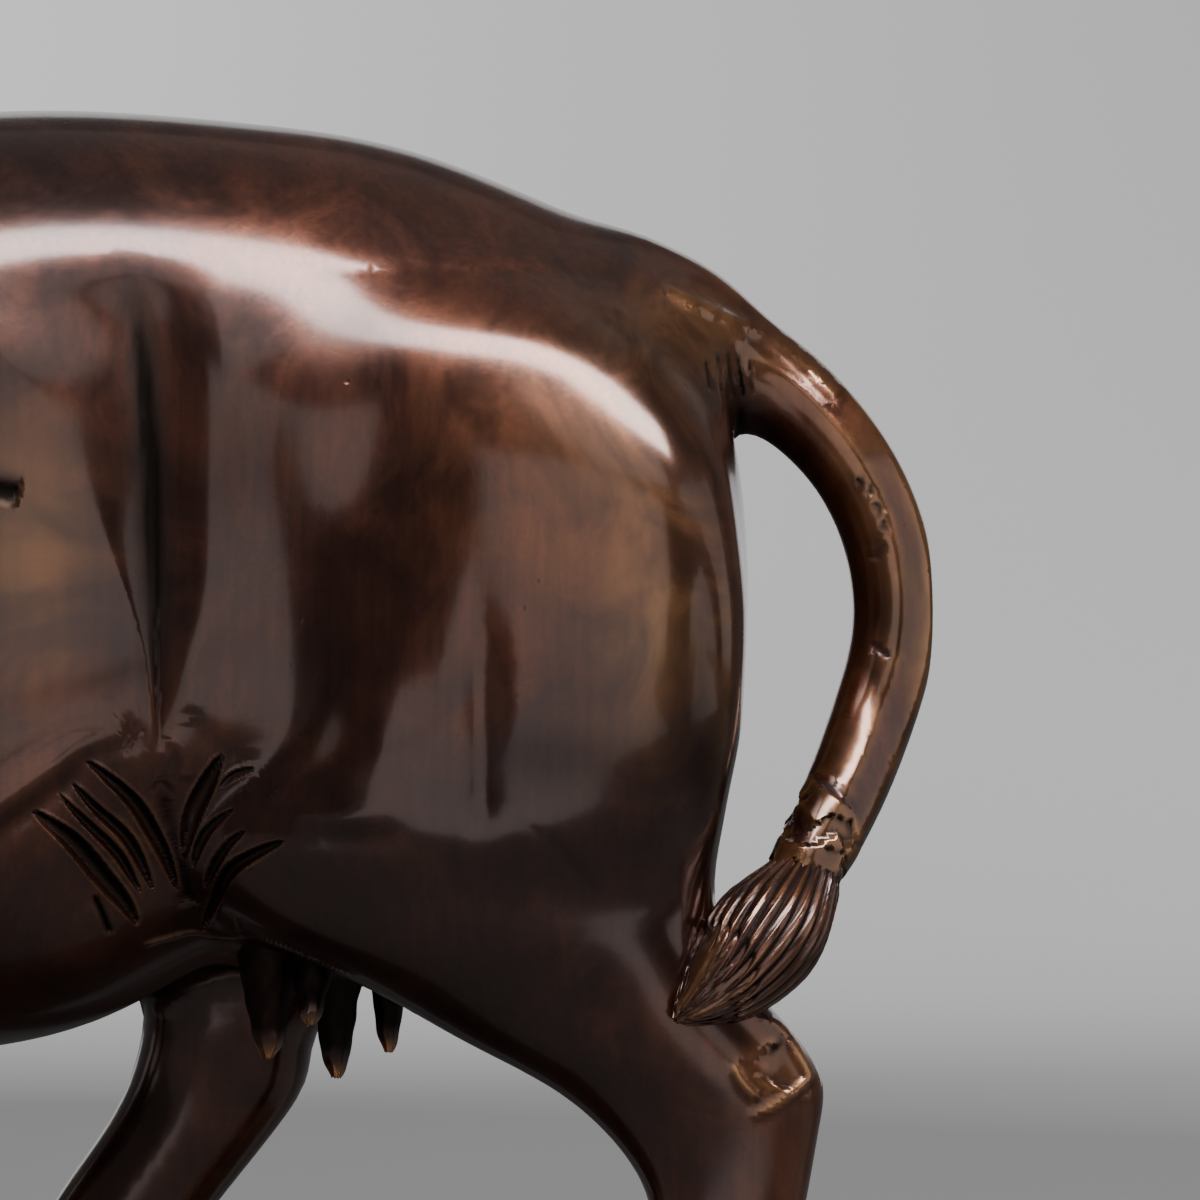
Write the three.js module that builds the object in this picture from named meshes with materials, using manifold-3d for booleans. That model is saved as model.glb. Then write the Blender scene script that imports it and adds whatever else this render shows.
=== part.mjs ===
// A water buffalo cow in cast brass, walking on a low plinth.
// Millimetres, +Z up. The head points towards -X and the left flank towards -Y.
// The figure is drawn with x = 0 under the lowest point of the belly and z = 0 at the soles.
// The whole is then centred over the origin, with the plinth's underside at z = 0.

import * as THREE from "three";
import { mergeVertices } from "three/addons/utils/BufferGeometryUtils.js";
import Module from "manifold-3d";

const wasm = await Module();
wasm.setup();

// Which side of the animal something is on, as the sign of its y
const left = -1;
const right = 1;

// Plinth
const plinthLength = 556;
const plinthWidth = 176;
const plinthHeight = 18;
const plinthCorner = 14;
const plinthChamfer = 3;
const plinthMiddle = -53; // x of its middle, in the figure's own frame
const restGap = 0.3; // between the soles and the plinth

// The lattice that the body's surface is drawn on, as stretches of [from, to, step] along each axis
const lattice = {
  x: [[-500, -305, 13], [-305, -170, 17], [-170, -12, 27], [-12, 210, 13.5]],
  y: [[-112, 112, 13]],
  z: [[94, 418, 15.4]],
};

// Outline of the trunk and neck from the side, and its breadth from above, each as [x, value]
const backLine = [
  [-392, 362], [-350, 378], [-305, 387], [-250, 393], [-205, 391], [-150, 384],
  [-90, 382], [-40, 384], [12, 387], [62, 384], [100, 378], [137, 364], [175, 346], [200, 331],
];
const bellyLine = [
  [-392, 322], [-350, 290], [-315, 250], [-285, 205], [-250, 173], [-200, 162],
  [-130, 157], [-60, 153], [0, 154], [31, 163], [62, 179], [100, 187], [140, 212], [175, 250], [200, 272],
];
const breadthLine = [
  [-392, 27], [-350, 29], [-315, 36], [-280, 51], [-240, 63], [-180, 74],
  [-110, 82], [-50, 83.5], [0, 80], [40, 72], [90, 65], [140, 56], [175, 41], [200, 26],
];
// Share of the trunk's height at which it is broadest
const broadestLine = [
  [-392, 0.5], [-300, 0.48], [-200, 0.46], [-60, 0.42], [20, 0.45], [80, 0.5], [200, 0.5],
];
// How full its section is above and below that height: 2 is a plain oval, more is squarer
const fullnessLine = [
  [-392, 2.3, 2.3], [-60, 2.35, 2.35], [0, 2.4, 2.5], [50, 2.2, 2.7], [90, 1.9, 2.8],
  [140, 1.8, 2.8], [200, 1.8, 2.6],
];
const rumpEnd = 181;
const rumpReach = 20; // over which the rump's end rounds off
const neckEnd = -392;
const neckReach = 24;

// Legs as rows of [z, front x, rear x, middle y, half thickness], from the haunch or shoulder to the sole
const hindLegBack = [
  [345, 78, 138, 26, 20], [330, 76, 158, 31, 27], [315, 74, 172, 34.5, 30.5], [300, 76, 180, 37, 33],
  [280, 78, 184, 39, 34.7], [262, 80, 185.5, 40, 35], [245, 82, 185, 40, 34.5], [232, 79, 184, 40, 33.5],
  [221, 66, 182, 40, 32],
  [210, 50, 180, 40, 31], [194, 52, 178, 40, 27], [182, 69, 180.5, 40, 24], [170, 94, 188, 39, 21],
  [157, 117.5, 199.5, 38, 18.5], [147, 136.5, 204.3, 38, 16.5], [137, 149.5, 203.6, 38, 15],
  [120, 161.3, 200.6, 38, 13.5],
  [95, 162, 195, 38, 12.5], [70, 162, 191, 38, 12.5], [48, 158, 192, 38, 15.5], [34, 154, 188, 38, 15],
  [22, 147, 191, 38, 18.5], [0, 136, 194, 38, 22],
];
const hindLegForward = [
  [345, 82, 138, 26, 20], [330, 75, 158, 31, 27], [315, 72, 172, 34.5, 30.5], [300, 71, 180, 37, 33],
  [280, 70, 183, 39, 34.7], [262, 67, 182, 40, 35], [245, 63, 178, 40, 34.5], [232, 57, 173, 40, 33.5],
  [221, 44, 166, 40, 32],
  [210, 29, 158, 40, 31], [192, 28, 134, 40, 27], [180, 31, 112, 40, 24], [168, 34, 92, 39, 21],
  [155, 33, 78, 38, 18.5], [143, 30, 75, 38, 16.5], [131, 24, 68, 38, 15], [112, 11, 53, 38, 13.5],
  [92, 1, 38, 38, 12.5], [70, -10, 23, 38, 12.5], [48, -25, 12, 38, 15.5], [34, -34, 1, 38, 15],
  [22, -46, -2, 38, 18.5], [0, -61, -4, 38, 22],
];
const foreLegForward = [
  [340, -262, -196, 36, 24], [290, -284, -178, 44, 32], [250, -290, -176, 46, 33], [215, -284, -184, 45, 29],
  [190, -274, -198, 43, 24], [165, -269, -212, 41, 20], [140, -268, -222, 40, 17], [115, -271, -228, 39, 17],
  [96, -269, -234, 39, 14], [70, -272, -240, 39, 13], [48, -279, -242, 39, 16], [34, -286, -249, 39, 15],
  [22, -294, -247, 39, 18.5], [0, -306, -246, 39, 22.5],
];
const foreLegBack = [
  [340, -258, -192, 36, 24], [290, -278, -172, 44, 32], [250, -281, -168, 46, 33], [215, -270, -172, 45, 29],
  [190, -256, -181, 43, 24], [165, -244, -188, 41, 20], [140, -235, -189, 40, 17], [115, -230, -187, 39, 17],
  [96, -220, -184, 39, 14], [70, -208, -176, 39, 13], [48, -203, -166, 39, 16], [34, -202, -165, 39, 15],
  [22, -206, -160, 39, 18.5], [0, -217, -157, 39, 22.5],
];

const hindTop = 345;
const foreTop = 350;
const legFullness = 2.3;
const haunchFullness = [ // of the hind legs, as [z, fullness]
  [0, legFullness], [170, legFullness], [190, 2.4], [220, 3], [265, 3.2], [300, 2.8], [340, 2.3],
];
const hoofTop = 21;
const cleftDepth = 5;
const seamHeight = 142; // about where a lower leg, made as a bar, leaves the thigh
const stumpEnd = 116;
const stumpInset = 6;
const lowerLegTop = 176;

// Head, along a line that slopes down from the poll to the muzzle
const poll = new THREE.Vector3(-362, 0, 356);
const headSlope = THREE.MathUtils.degToRad(43);
const headRows = [
  // [along, above the line, below the line, half breadth]
  [-22, 14, 24, 24], [0, 23, 40, 32], [24, 27, 48, 36], [46, 25.5, 50, 37],
  [70, 21, 43, 31], [94, 17.5, 34, 27], [118, 17, 30, 28], [138, 17, 30, 30.5], [152, 14, 27, 28],
];
const headBack = -20;
const muzzleEnd = 152;

// An eye bulges from each side of the head
const eyeAlong = 34;
const eyeUp = 6;
const eyeHalfLength = 8;
const eyeBulge = 4;

// Muscles and hollows of the side, as [x, z, reach along x, reach along z, height, shift].
// The shift is how far forward one lies on the right, where the hind leg is stepping out.
const muscles = [
  [46, 203, 24, 21, -4.5, 26], // web of skin between belly and thigh
  [94, 233, 12, 18, 3.6, 16], // low on the haunch
  [122, 236, 4.5, 22, -1.6, 14],
  [172, 238, 5, 40, -2.5, 8], // furrow down the back of the thigh
  [80, 300, 13, 26, 1.6, 4], // front of the haunch
  [100, 292, 16, 30, -1.8, 6],
  [-176, 300, 11, 60, -4, 0], // furrow behind the shoulder
  [-232, 262, 26, 34, 4, 0], // point of the shoulder
  [-212, 345, 20, 30, 2.5, 0], // shoulder blade
];

// Hollow of the flank, which sinks from the ribs and ends sharply at the haunch,
// as rows of [z, front edge, deepest place, rear edge, depth]
const flankHollow = [
  [350, -30, 38, 59, 0], [344, -22, 38, 58.5, 0.7], [336.6, -10, 37.9, 57.7, 2.6],
  [325.8, 5, 38.8, 57, 4.2], [312.7, 15.3, 40.3, 56.5, 4.6], [288.9, 27.2, 42, 56, 4.6],
  [265, 37.2, 43.4, 55.6, 3.6], [253, 41, 44, 52.5, 2.8], [241, 42.5, 44.4, 48.5, 2],
  [228, 42.5, 44.4, 48, 0],
];
const hollowShift = 8; // how far forward it lies on the right

// Tail as rows of [x, y, z, radius], from inside the rump to the tuft
const tailRows = [
  [156, 0, 337, 16], [172, 0, 331, 15], [186.3, 0, 323.3, 13], [196.5, 0, 316.5, 12], [205, -1, 308.5, 11.3],
  [213.2, -2, 298, 10.8], [219, -3, 286.5, 10.6], [222.8, -5, 272, 10.6], [223.4, -7, 259, 10.6],
  [221.2, -10, 247, 10.5], [217.4, -14, 235.3, 10.4], [209.1, -27, 215.8, 10], [204.1, -33, 206.2, 9.6],
  [199.3, -38, 196.7, 8.8],
];
const tuftTop = new THREE.Vector3(202.5, -36, 198);
const tuftTip = new THREE.Vector3(168, -62, 164);
const tuftBow = new THREE.Vector3(6, 0, -7); // how far the middle of the tuft hangs from a straight line
const tuftRadius = 13.5;
const tuftFlutes = 12;
const tuftFluteDepth = 1.1;

// Horns, as [x, y, z, radius] of the right one, which the left one mirrors
const hornRows = [
  [-362, 8, 360, 14], [-357, 28, 366, 16], [-345, 52, 369, 15.5], [-322, 74, 371, 14.2],
  [-292, 88, 377, 12.4], [-262, 92, 389, 10], [-238, 85, 403, 7.6], [-222, 71, 418, 4.8],
  [-216, 58, 430, 2.2],
];
const hornRings = 8;
const hornRingDepth = 0.8;

// Ears hang out and back below the horns
const earRoot = new THREE.Vector3(-350, 26, 346);
const earTip = new THREE.Vector3(-330, 84, 318);
const earHalfWidth = 15;
const earHalfThickness = 3.6;

// Udder and its four teats, each as [x, y, z of the root, length, lean towards +Y, radius]
const udder = { at: new THREE.Vector3(80, 0, 196), half: new THREE.Vector3(40, 36, 26) };
const teats = [
  [68, -18, 184, 32, -0.03, 6.8], [79, -23, 182, 23, -0.4, 5], [83.5, 9, 182, 37, 0.02, 6.2],
  [96.5, 15, 182, 31, 0.03, 4.8],
];

// Strokes carved in the web of skin, as [x, z] at the start, middle and end, and the width
const foldStrokes = [
  [26.9, 226.8, 37, 219, 44.5, 206, 4.2],
  [23.6, 221.4, 35.5, 211.5, 42, 196.3, 3.6],
  [20.5, 219, 32, 207, 39.8, 194.9, 3.4],
  [14.8, 214.9, 28.5, 201.5, 38.4, 186.3, 5.4],
  [59.9, 227.6, 53.5, 217, 49.4, 203.5, 5],
  [64, 212, 57.6, 206, 53.5, 199, 3.2],
  [73.7, 207, 63, 200, 53.5, 188.5, 4.2],
];
const strokeDepth = 1.8;
const strokeShift = 26; // how far forward the web and its strokes lie on the right

// A smooth curve through rows of numbers, as a natural cubic spline of every column on the first
function smoothRows(rows) {
  const sorted = [...rows].sort((a, b) => a[0] - b[0]);
  const count = sorted.length;
  const at = sorted.map((row) => row[0]);
  const columns = sorted[0].slice(1).map((_, c) => {
    const value = sorted.map((row) => row[c + 1]);
    const bend = new Array(count).fill(0);
    const share = new Array(count).fill(0);
    const carried = new Array(count).fill(0);
    for (let i = 1; i < count - 1; i++) {
      const before = at[i] - at[i - 1];
      const after = at[i + 1] - at[i];
      const rise = (value[i + 1] - value[i]) / after - (value[i] - value[i - 1]) / before;
      const pivot = 2 * (before + after) - before * share[i - 1];
      share[i] = after / pivot;
      carried[i] = (6 * rise - before * carried[i - 1]) / pivot;
    }
    for (let i = count - 2; i > 0; i--) bend[i] = carried[i] - share[i] * bend[i + 1];
    return { value, bend };
  });
  return (t) => {
    const inside = Math.min(Math.max(t, at[0]), at[count - 1]);
    let i = 0;
    while (i < count - 2 && inside > at[i + 1]) i++;
    const gap = at[i + 1] - at[i];
    const b = (inside - at[i]) / gap;
    const a = 1 - b;
    const pull = gap ** 2 / 6;
    return columns.map(({ value, bend }) =>
      a * value[i] + b * value[i + 1] + pull * ((a ** 3 - a) * bend[i] + (b ** 3 - b) * bend[i + 1]));
  };
}

// Two signed distances joined with a soft seam of the given reach
function softUnion(a, b, reach) {
  const h = Math.max(reach - Math.abs(a - b), 0) / reach;
  return Math.min(a, b) - (h ** 3 * reach) / 6;
}

function softCut(a, b, reach) {
  return -softUnion(-a, -b, reach);
}

// Distance from an oval section, measured along the ray from its middle: u and v run to 1 at the rim
function ovalDistance(across, up, u, v, fullness) {
  const share = (Math.abs(u) ** fullness + Math.abs(v) ** fullness) ** (1 / fullness);
  const reach = Math.hypot(across, up);
  return share < 1e-6 ? -20 : reach * (1 - 1 / share);
}

const trunkAt = smoothRows(backLine);
const bellyAt = smoothRows(bellyLine);
const breadthAt = smoothRows(breadthLine);
const broadestAt = smoothRows(broadestLine);
const fullnessAt = smoothRows(fullnessLine);
const hollowAt = smoothRows(flankHollow);
const headAt = smoothRows(headRows);

function trunkDistance(x, y, z) {
  const [top] = trunkAt(x);
  const [low] = bellyAt(x);
  const [half] = breadthAt(x);
  const [share] = broadestAt(x);
  const middle = low + (top - low) * share;
  const up = z - middle;
  const [upper, lower] = fullnessAt(x);
  const reach = up > 0 ? top - middle : middle - low;
  const d = ovalDistance(y, up, y / half, up / reach, up > 0 ? upper : lower);
  return softCut(softCut(d, x - rumpEnd, rumpReach), neckEnd - x, neckReach);
}

// A thigh or upper arm, which narrows to a stump where the lower leg takes over
function thighDistance(rowsAt, fullAt, top, side) {
  return (x, y, z) => {
    const [front, rear, middle, thick] = rowsAt(z);
    const inset = stumpInset * (1 - THREE.MathUtils.smoothstep(z, stumpEnd, seamHeight + 8));
    const half = (rear - front) / 2 - inset;
    const along = x - (front + rear) / 2;
    const across = y - side * middle;
    const d = ovalDistance(along, across, along / half, across / (thick - inset), fullAt(z)[0]);
    return softCut(softCut(d * 0.9, z - top, 22), stumpEnd - z, 8);
  };
}

const hindFullAt = smoothRows(haunchFullness);
const foreFullAt = () => [legFullness];
const thighs = [
  [thighDistance(smoothRows(hindLegBack), hindFullAt, hindTop, left), 20],
  [thighDistance(smoothRows(hindLegForward), hindFullAt, hindTop, right), 20],
  [thighDistance(smoothRows(foreLegForward), foreFullAt, foreTop, left), 18],
  [thighDistance(smoothRows(foreLegBack), foreFullAt, foreTop, right), 18],
];

function headDistance(x, y, z) {
  const dx = x - poll.x;
  const dz = z - poll.z;
  const along = -dx * Math.cos(headSlope) - dz * Math.sin(headSlope);
  const up = -dx * Math.sin(headSlope) + dz * Math.cos(headSlope);
  const [above, below, half] = headAt(along);
  const d = ovalDistance(y, up, y / half, up / (up > 0 ? above : below), 2.4);
  return softCut(softCut(d, along - muzzleEnd, 16), headBack - along, 16);
}

function udderDistance(x, y, z) {
  const px = x - udder.at.x;
  const pz = z - udder.at.z;
  const share = Math.hypot(px / udder.half.x, y / udder.half.y, pz / udder.half.z);
  return Math.hypot(px, y, pz) * (1 - 1 / Math.max(share, 1e-6));
}

function hollowDepth(x, y, z) {
  if (z < flankHollow.at(-1)[0] || z > flankHollow[0][0]) return 0;
  const [front, deepest, rear, depth] = hollowAt(z);
  const along = y > 0 ? x + hollowShift : x;
  if (along < deepest) return depth * Math.max((along - front) / (deepest - front), 0) ** 1.4;
  return depth * Math.max(1 - (along - deepest) / (rear - deepest), 0);
}

// The muscles stand proud of the sides only, and fade out over the back and belly
function muscleHeight(x, y, z) {
  const aside = THREE.MathUtils.smoothstep(Math.abs(y), 12, 42);
  return aside * muscles.reduce((sum, [mx, mz, rx, rz, height, shift]) => {
    const middle = y > 0 ? mx - shift : mx;
    return sum + height * Math.exp(-(((x - middle) / rx) ** 2) - ((z - mz) / rz) ** 2);
  }, -hollowDepth(x, y, z));
}

function bodyDistance(x, y, z) {
  let d = trunkDistance(x, y, z);
  for (const [thigh, reach] of thighs) d = softUnion(d, thigh(x, y, z), reach);
  d = softUnion(d, headDistance(x, y, z), 18);
  d = softUnion(d, udderDistance(x, y, z), 10);
  return d - muscleHeight(x, y, z);
}

// A lattice cell has its corners numbered by three bits, one for each axis
const cellCorners = [0, 1, 2, 3, 4, 5, 6, 7];
const cornerSteps = cellCorners.map((c) => [c & 1, (c >> 1) & 1, (c >> 2) & 1]);
const cellEdges = [1, 2, 4].flatMap((bit) =>
  cellCorners.filter((c) => !(c & bit)).map((c) => [c, c | bit]));
const cellFaces = [[1, 2, 4], [2, 4, 1], [4, 1, 2]].flatMap(([u, v, w]) =>
  [0, w].map((base) => [base, base | u, base | u | v, base | v]));

function edgeName(a, b) {
  return (a ^ b) * 8 + (a & b);
}

// Which crossed edges of a cell lie on the same sheet of surface: each gets the name of its sheet
function sheetsOf(corner) {
  const sheet = new Map();
  for (const [a, b] of cellEdges)
    if (corner[a] < 0 !== corner[b] < 0) sheet.set(edgeName(a, b), edgeName(a, b));
  const join = (one, two) => {
    const [keep, drop] = [sheet.get(one), sheet.get(two)];
    for (const [edge, name] of sheet) if (name === drop) sheet.set(edge, keep);
  };
  for (const face of cellFaces) {
    const sides = face.map((c, i) => edgeName(c, face[(i + 1) % 4]));
    const crossed = sides.filter((edge) => sheet.has(edge));
    if (crossed.length === 2) join(...crossed);
    if (crossed.length < 4) continue;
    const solidMiddle = face.reduce((sum, c) => sum + corner[c], 0) < 0;
    face.forEach((c, i) => {
      if (corner[c] < 0 !== solidMiddle) join(sides[i], sides[(i + 3) % 4]);
    });
  }
  return sheet;
}

// The surface where a distance is zero, as one quad for each lattice edge that crosses it
function drawSurface(distance, stretches) {
  const lines = [stretches.x, stretches.y, stretches.z].map((axis) => axis.flatMap(([from, to, step], s) => {
    const count = Math.round((to - from) / step);
    const first = s === 0 ? 0 : 1;
    return Array.from({ length: count + 1 - first }, (_, i) => from + ((to - from) * (i + first)) / count);
  }));
  const n = lines.map((axis) => axis.length);
  const index = (i, j, k) => (i * n[1] + j) * n[2] + k;
  const point = (i, j, k) => [lines[0][i], lines[1][j], lines[2][k]];
  const value = new Float64Array(n[0] * n[1] * n[2]);
  for (let i = 0; i < n[0]; i++)
    for (let j = 0; j < n[1]; j++)
      for (let k = 0; k < n[2]; k++) value[index(i, j, k)] = distance(...point(i, j, k));
  const vertexOf = new Map();
  const position = [];
  for (let i = 0; i < n[0] - 1; i++)
    for (let j = 0; j < n[1] - 1; j++)
      for (let k = 0; k < n[2] - 1; k++) {
        const corner = cornerSteps.map(([p, q, r]) => value[index(i + p, j + q, k + r)]);
        if (corner.every((v) => v < 0) || corner.every((v) => v >= 0)) continue;
        const sheet = sheetsOf(corner);
        for (const name of new Set(sheet.values())) {
          const sum = [0, 0, 0];
          let crossings = 0;
          for (const [a, b] of cellEdges) {
            if (sheet.get(edgeName(a, b)) !== name) continue;
            const t = corner[a] / (corner[a] - corner[b]);
            const pa = point(...cornerSteps[a].map((v, c) => v + [i, j, k][c]));
            const pb = point(...cornerSteps[b].map((v, c) => v + [i, j, k][c]));
            for (let c = 0; c < 3; c++) sum[c] += pa[c] + (pb[c] - pa[c]) * t;
            crossings++;
          }
          for (const [edge, owner] of sheet)
            if (owner === name) vertexOf.set(index(i, j, k) * 64 + edge, position.length / 3);
          position.push(...ontoSurface(distance, sum.map((v) => v / crossings)));
        }
      }
  const triangles = [];
  const steps = [[1, 0, 0], [0, 1, 0], [0, 0, 1]];
  for (let i = 1; i < n[0] - 1; i++)
    for (let j = 1; j < n[1] - 1; j++)
      for (let k = 1; k < n[2] - 1; k++)
        steps.forEach((step, axis) => {
          const here = value[index(i, j, k)] < 0;
          const there = value[index(i + step[0], j + step[1], k + step[2])] < 0;
          if (here === there) return;
          const uAxis = (axis + 1) % 3;
          const vAxis = (axis + 2) % 3;
          const [a, b, c, d] = [[1, 1], [0, 1], [0, 0], [1, 0]].map(([p, q]) => {
            const at = [i, j, k];
            at[uAxis] -= p;
            at[vAxis] -= q;
            const from = p * 2 ** uAxis + q * 2 ** vAxis;
            return vertexOf.get(index(...at) * 64 + edgeName(from, from + 2 ** axis));
          });
          triangles.push(...(here ? [a, b, c, a, c, d] : [a, c, b, a, d, c]));
        });
  return { position, triangles };
}

// Moves a point along the slope of the distance until it lies on the surface
function ontoSurface(distance, start) {
  const nudge = 0.2;
  let p = start;
  for (let turn = 0; turn < 3; turn++) {
    const d = distance(...p);
    const slope = [0, 1, 2].map((c) => {
      const ahead = [...p];
      const behind = [...p];
      ahead[c] += nudge;
      behind[c] -= nudge;
      return (distance(...ahead) - distance(...behind)) / (2 * nudge);
    });
    const steep = Math.max(slope.reduce((s, g) => s + g * g, 0), 0.05);
    const stride = THREE.MathUtils.clamp(d / steep, -6, 6);
    p = p.map((v, c) => v - slope[c] * stride);
  }
  return p;
}

// Rings of points, each closed on itself and joined to the next, with a flat or pointed cap at each end
function skinRings(rings) {
  const sides = rings[0].length;
  const position = rings.flat(2);
  const triangles = [];
  for (let r = 0; r < rings.length - 1; r++)
    for (let s = 0; s < sides; s++) {
      const a = r * sides + s;
      const b = r * sides + ((s + 1) % sides);
      triangles.push(a, b, b + sides, a, b + sides, a + sides);
    }
  for (const [ring, turned] of [[0, true], [rings.length - 1, false]]) {
    const middle = [0, 1, 2].map((c) => rings[ring].reduce((sum, p) => sum + p[c], 0) / sides);
    const centre = position.length / 3;
    position.push(...middle);
    for (let s = 0; s < sides; s++) {
      const a = ring * sides + s;
      const b = ring * sides + ((s + 1) % sides);
      triangles.push(...(turned ? [b, a, centre] : [a, b, centre]));
    }
  }
  return { position, triangles };
}

// A round bar along a curve: radiusAt gives the radius at a share of its length and an angle round it
function bar(curve, steps, sides, radiusAt) {
  const frames = curve.computeFrenetFrames(steps, false);
  const rings = [];
  for (let i = 0; i <= steps; i++) {
    const middle = curve.getPointAt(i / steps);
    rings.push(Array.from({ length: sides }, (_, s) => {
      const angle = (2 * Math.PI * s) / sides;
      const r = radiusAt(i / steps, angle);
      return middle.clone()
        .addScaledVector(frames.normals[i], Math.cos(angle) * r)
        .addScaledVector(frames.binormals[i], Math.sin(angle) * r)
        .toArray();
    }));
  }
  return solidOf(skinRings(rings));
}

function solidOf({ position, triangles }) {
  return new wasm.Manifold(new wasm.Mesh({
    numProp: 3,
    vertProperties: new Float32Array(position),
    triVerts: new Uint32Array(triangles),
  }));
}

function solidOfGeometry(geometry) {
  geometry.deleteAttribute("normal");
  geometry.deleteAttribute("uv");
  const merged = mergeVertices(geometry, 1e-4);
  return solidOf({ position: merged.attributes.position.array, triangles: merged.index.array });
}

function curveOf(rows) {
  const points = rows.map(([x, y, z]) => new THREE.Vector3(x, y, z));
  return new THREE.CatmullRomCurve3(points, false, "centripetal");
}

// Radius at a share of the way along rows that end in a radius
function radiusAlong(rows) {
  const points = rows.map(([x, y, z]) => new THREE.Vector3(x, y, z));
  const walked = [0];
  points.slice(1).forEach((p, i) => walked.push(walked[i] + p.distanceTo(points[i])));
  const whole = walked[walked.length - 1];
  const at = smoothRows(rows.map((row, i) => [walked[i] / whole, row[3]]));
  return (t) => at(t)[0];
}

// The lower leg as rings of its own sections, from inside the thigh to the flat sole
function makeLowerLeg(rows, side) {
  const rowsAt = smoothRows(rows);
  const sides = 12;
  const heights = rows.map((row) => row[0]).filter((z) => z < lowerLegTop - 12);
  heights.push(hoofTop - 1.5, 11);
  heights.sort((a, b) => a - b);
  const rings = [...heights, lowerLegTop].map((z) => {
    const [front, rear, middle, thick] = rowsAt(z);
    const share = 1 - 0.4 * THREE.MathUtils.smoothstep(z, seamHeight + 3, lowerLegTop);
    return Array.from({ length: sides }, (_, s) => {
      const angle = (2 * Math.PI * s) / sides;
      const u = Math.sign(Math.cos(angle)) * Math.abs(Math.cos(angle)) ** (2 / legFullness);
      const v = Math.sign(Math.sin(angle)) * Math.abs(Math.sin(angle)) ** (2 / legFullness);
      const cleft = z < hoofTop && s % (sides / 2) === 0 ? cleftDepth * Math.sign(u) : 0;
      const x = (front + rear) / 2 + u * share * (rear - front) / 2 - cleft;
      return [x, side * middle + v * share * thick, z];
    });
  });
  return solidOf(skinRings(rings));
}

function makeTail() {
  return bar(curveOf(tailRows), 18, 10, radiusAlong(tailRows));
}

// The tuft swells from the tail and closes to a point, fluted like a gathered brush
function makeTuft() {
  const middle = tuftTop.clone().lerp(tuftTip, 0.5).add(tuftBow);
  const curve = new THREE.QuadraticBezierCurve3(tuftTop, middle, tuftTip);
  const swell = smoothRows(
    [[0, 0.62], [0.12, 0.72], [0.3, 0.96], [0.48, 1], [0.7, 0.74], [0.88, 0.36], [1, 0.06]]);
  return bar(curve, 8, tuftFlutes * 2, (t, angle) => {
    const flute = Math.cos(tuftFlutes * angle) * tuftFluteDepth * Math.min(1, 2.5 * t * (1.15 - t) + 0.1);
    return Math.max(tuftRadius * swell(t)[0] + flute, 0.4);
  });
}

function makeHorn(side) {
  const rows = hornRows.map(([x, y, z, r]) => [x, side * y, z, r]);
  const radius = radiusAlong(rows);
  return bar(curveOf(rows), hornRings * 2, 8, (t) => {
    const ring = Math.cos(2 * Math.PI * hornRings * t) * hornRingDepth * (1 - t);
    return Math.max(radius(t) + ring, 1.2);
  });
}

// An ear is a leaf: broad near its root and pointed at its tip, with its face turned forwards
function makeEar(side) {
  const mirror = new THREE.Vector3(1, side, 1);
  const root = earRoot.clone().multiply(mirror);
  const tip = earTip.clone().multiply(mirror);
  const along = tip.clone().sub(root);
  const face = new THREE.Vector3(-0.75, side * 0.15, 0.35).normalize();
  const across = face.clone().cross(along).normalize();
  const width = smoothRows([[0, 0.45], [0.25, 0.9], [0.45, 1], [0.7, 0.75], [0.9, 0.35], [1, 0.08]]);
  const sides = 8;
  const steps = 6;
  const rings = [];
  for (let i = 0; i <= steps; i++) {
    const t = i / steps;
    const middle = root.clone().addScaledVector(along, t);
    rings.push(Array.from({ length: sides }, (_, s) => {
      const angle = (2 * Math.PI * s) / sides;
      return middle.clone()
        .addScaledVector(across, Math.cos(angle) * width(t)[0] * earHalfWidth)
        .addScaledVector(face, Math.sin(angle) * earHalfThickness * (0.5 + 0.5 * width(t)[0]))
        .toArray();
    }));
  }
  return solidOf(skinRings(rings));
}

function makeTeat([x, y, z, length, lean, radius]) {
  const down = new THREE.Vector3(0, lean, -1).normalize();
  const root = new THREE.Vector3(x, y, z);
  const curve = new THREE.LineCurve3(root, root.clone().addScaledVector(down, length));
  const taper = smoothRows([[0, 1.1], [0.3, 1], [0.7, 0.72], [0.92, 0.5], [1, 0.25]]);
  return bar(curve, 4, 6, (t) => radius * taper(t)[0]);
}

function makeEye(side) {
  const x = poll.x - eyeAlong * Math.cos(headSlope) - eyeUp * Math.sin(headSlope);
  const z = poll.z - eyeAlong * Math.sin(headSlope) + eyeUp * Math.cos(headSlope);
  const y = skinAt(x, z, side);
  const along = new THREE.Vector3(Math.cos(headSlope), 0, Math.sin(headSlope));
  const start = new THREE.Vector3(x, y - side * 0.5, z).addScaledVector(along, -eyeHalfLength);
  const curve = new THREE.LineCurve3(start, start.clone().addScaledVector(along, 2 * eyeHalfLength));
  return bar(curve, 6, 8, (t) => Math.max(eyeBulge * Math.sqrt(4 * t * (1 - t)), 0.5));
}

// How far out to the side the body's skin lies at a place seen from the side
function skinAt(x, z, side) {
  let y = 105;
  for (let turn = 0; turn < 60; turn++) y -= 0.8 * bodyDistance(x, side * y, z);
  return side * y;
}

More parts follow.
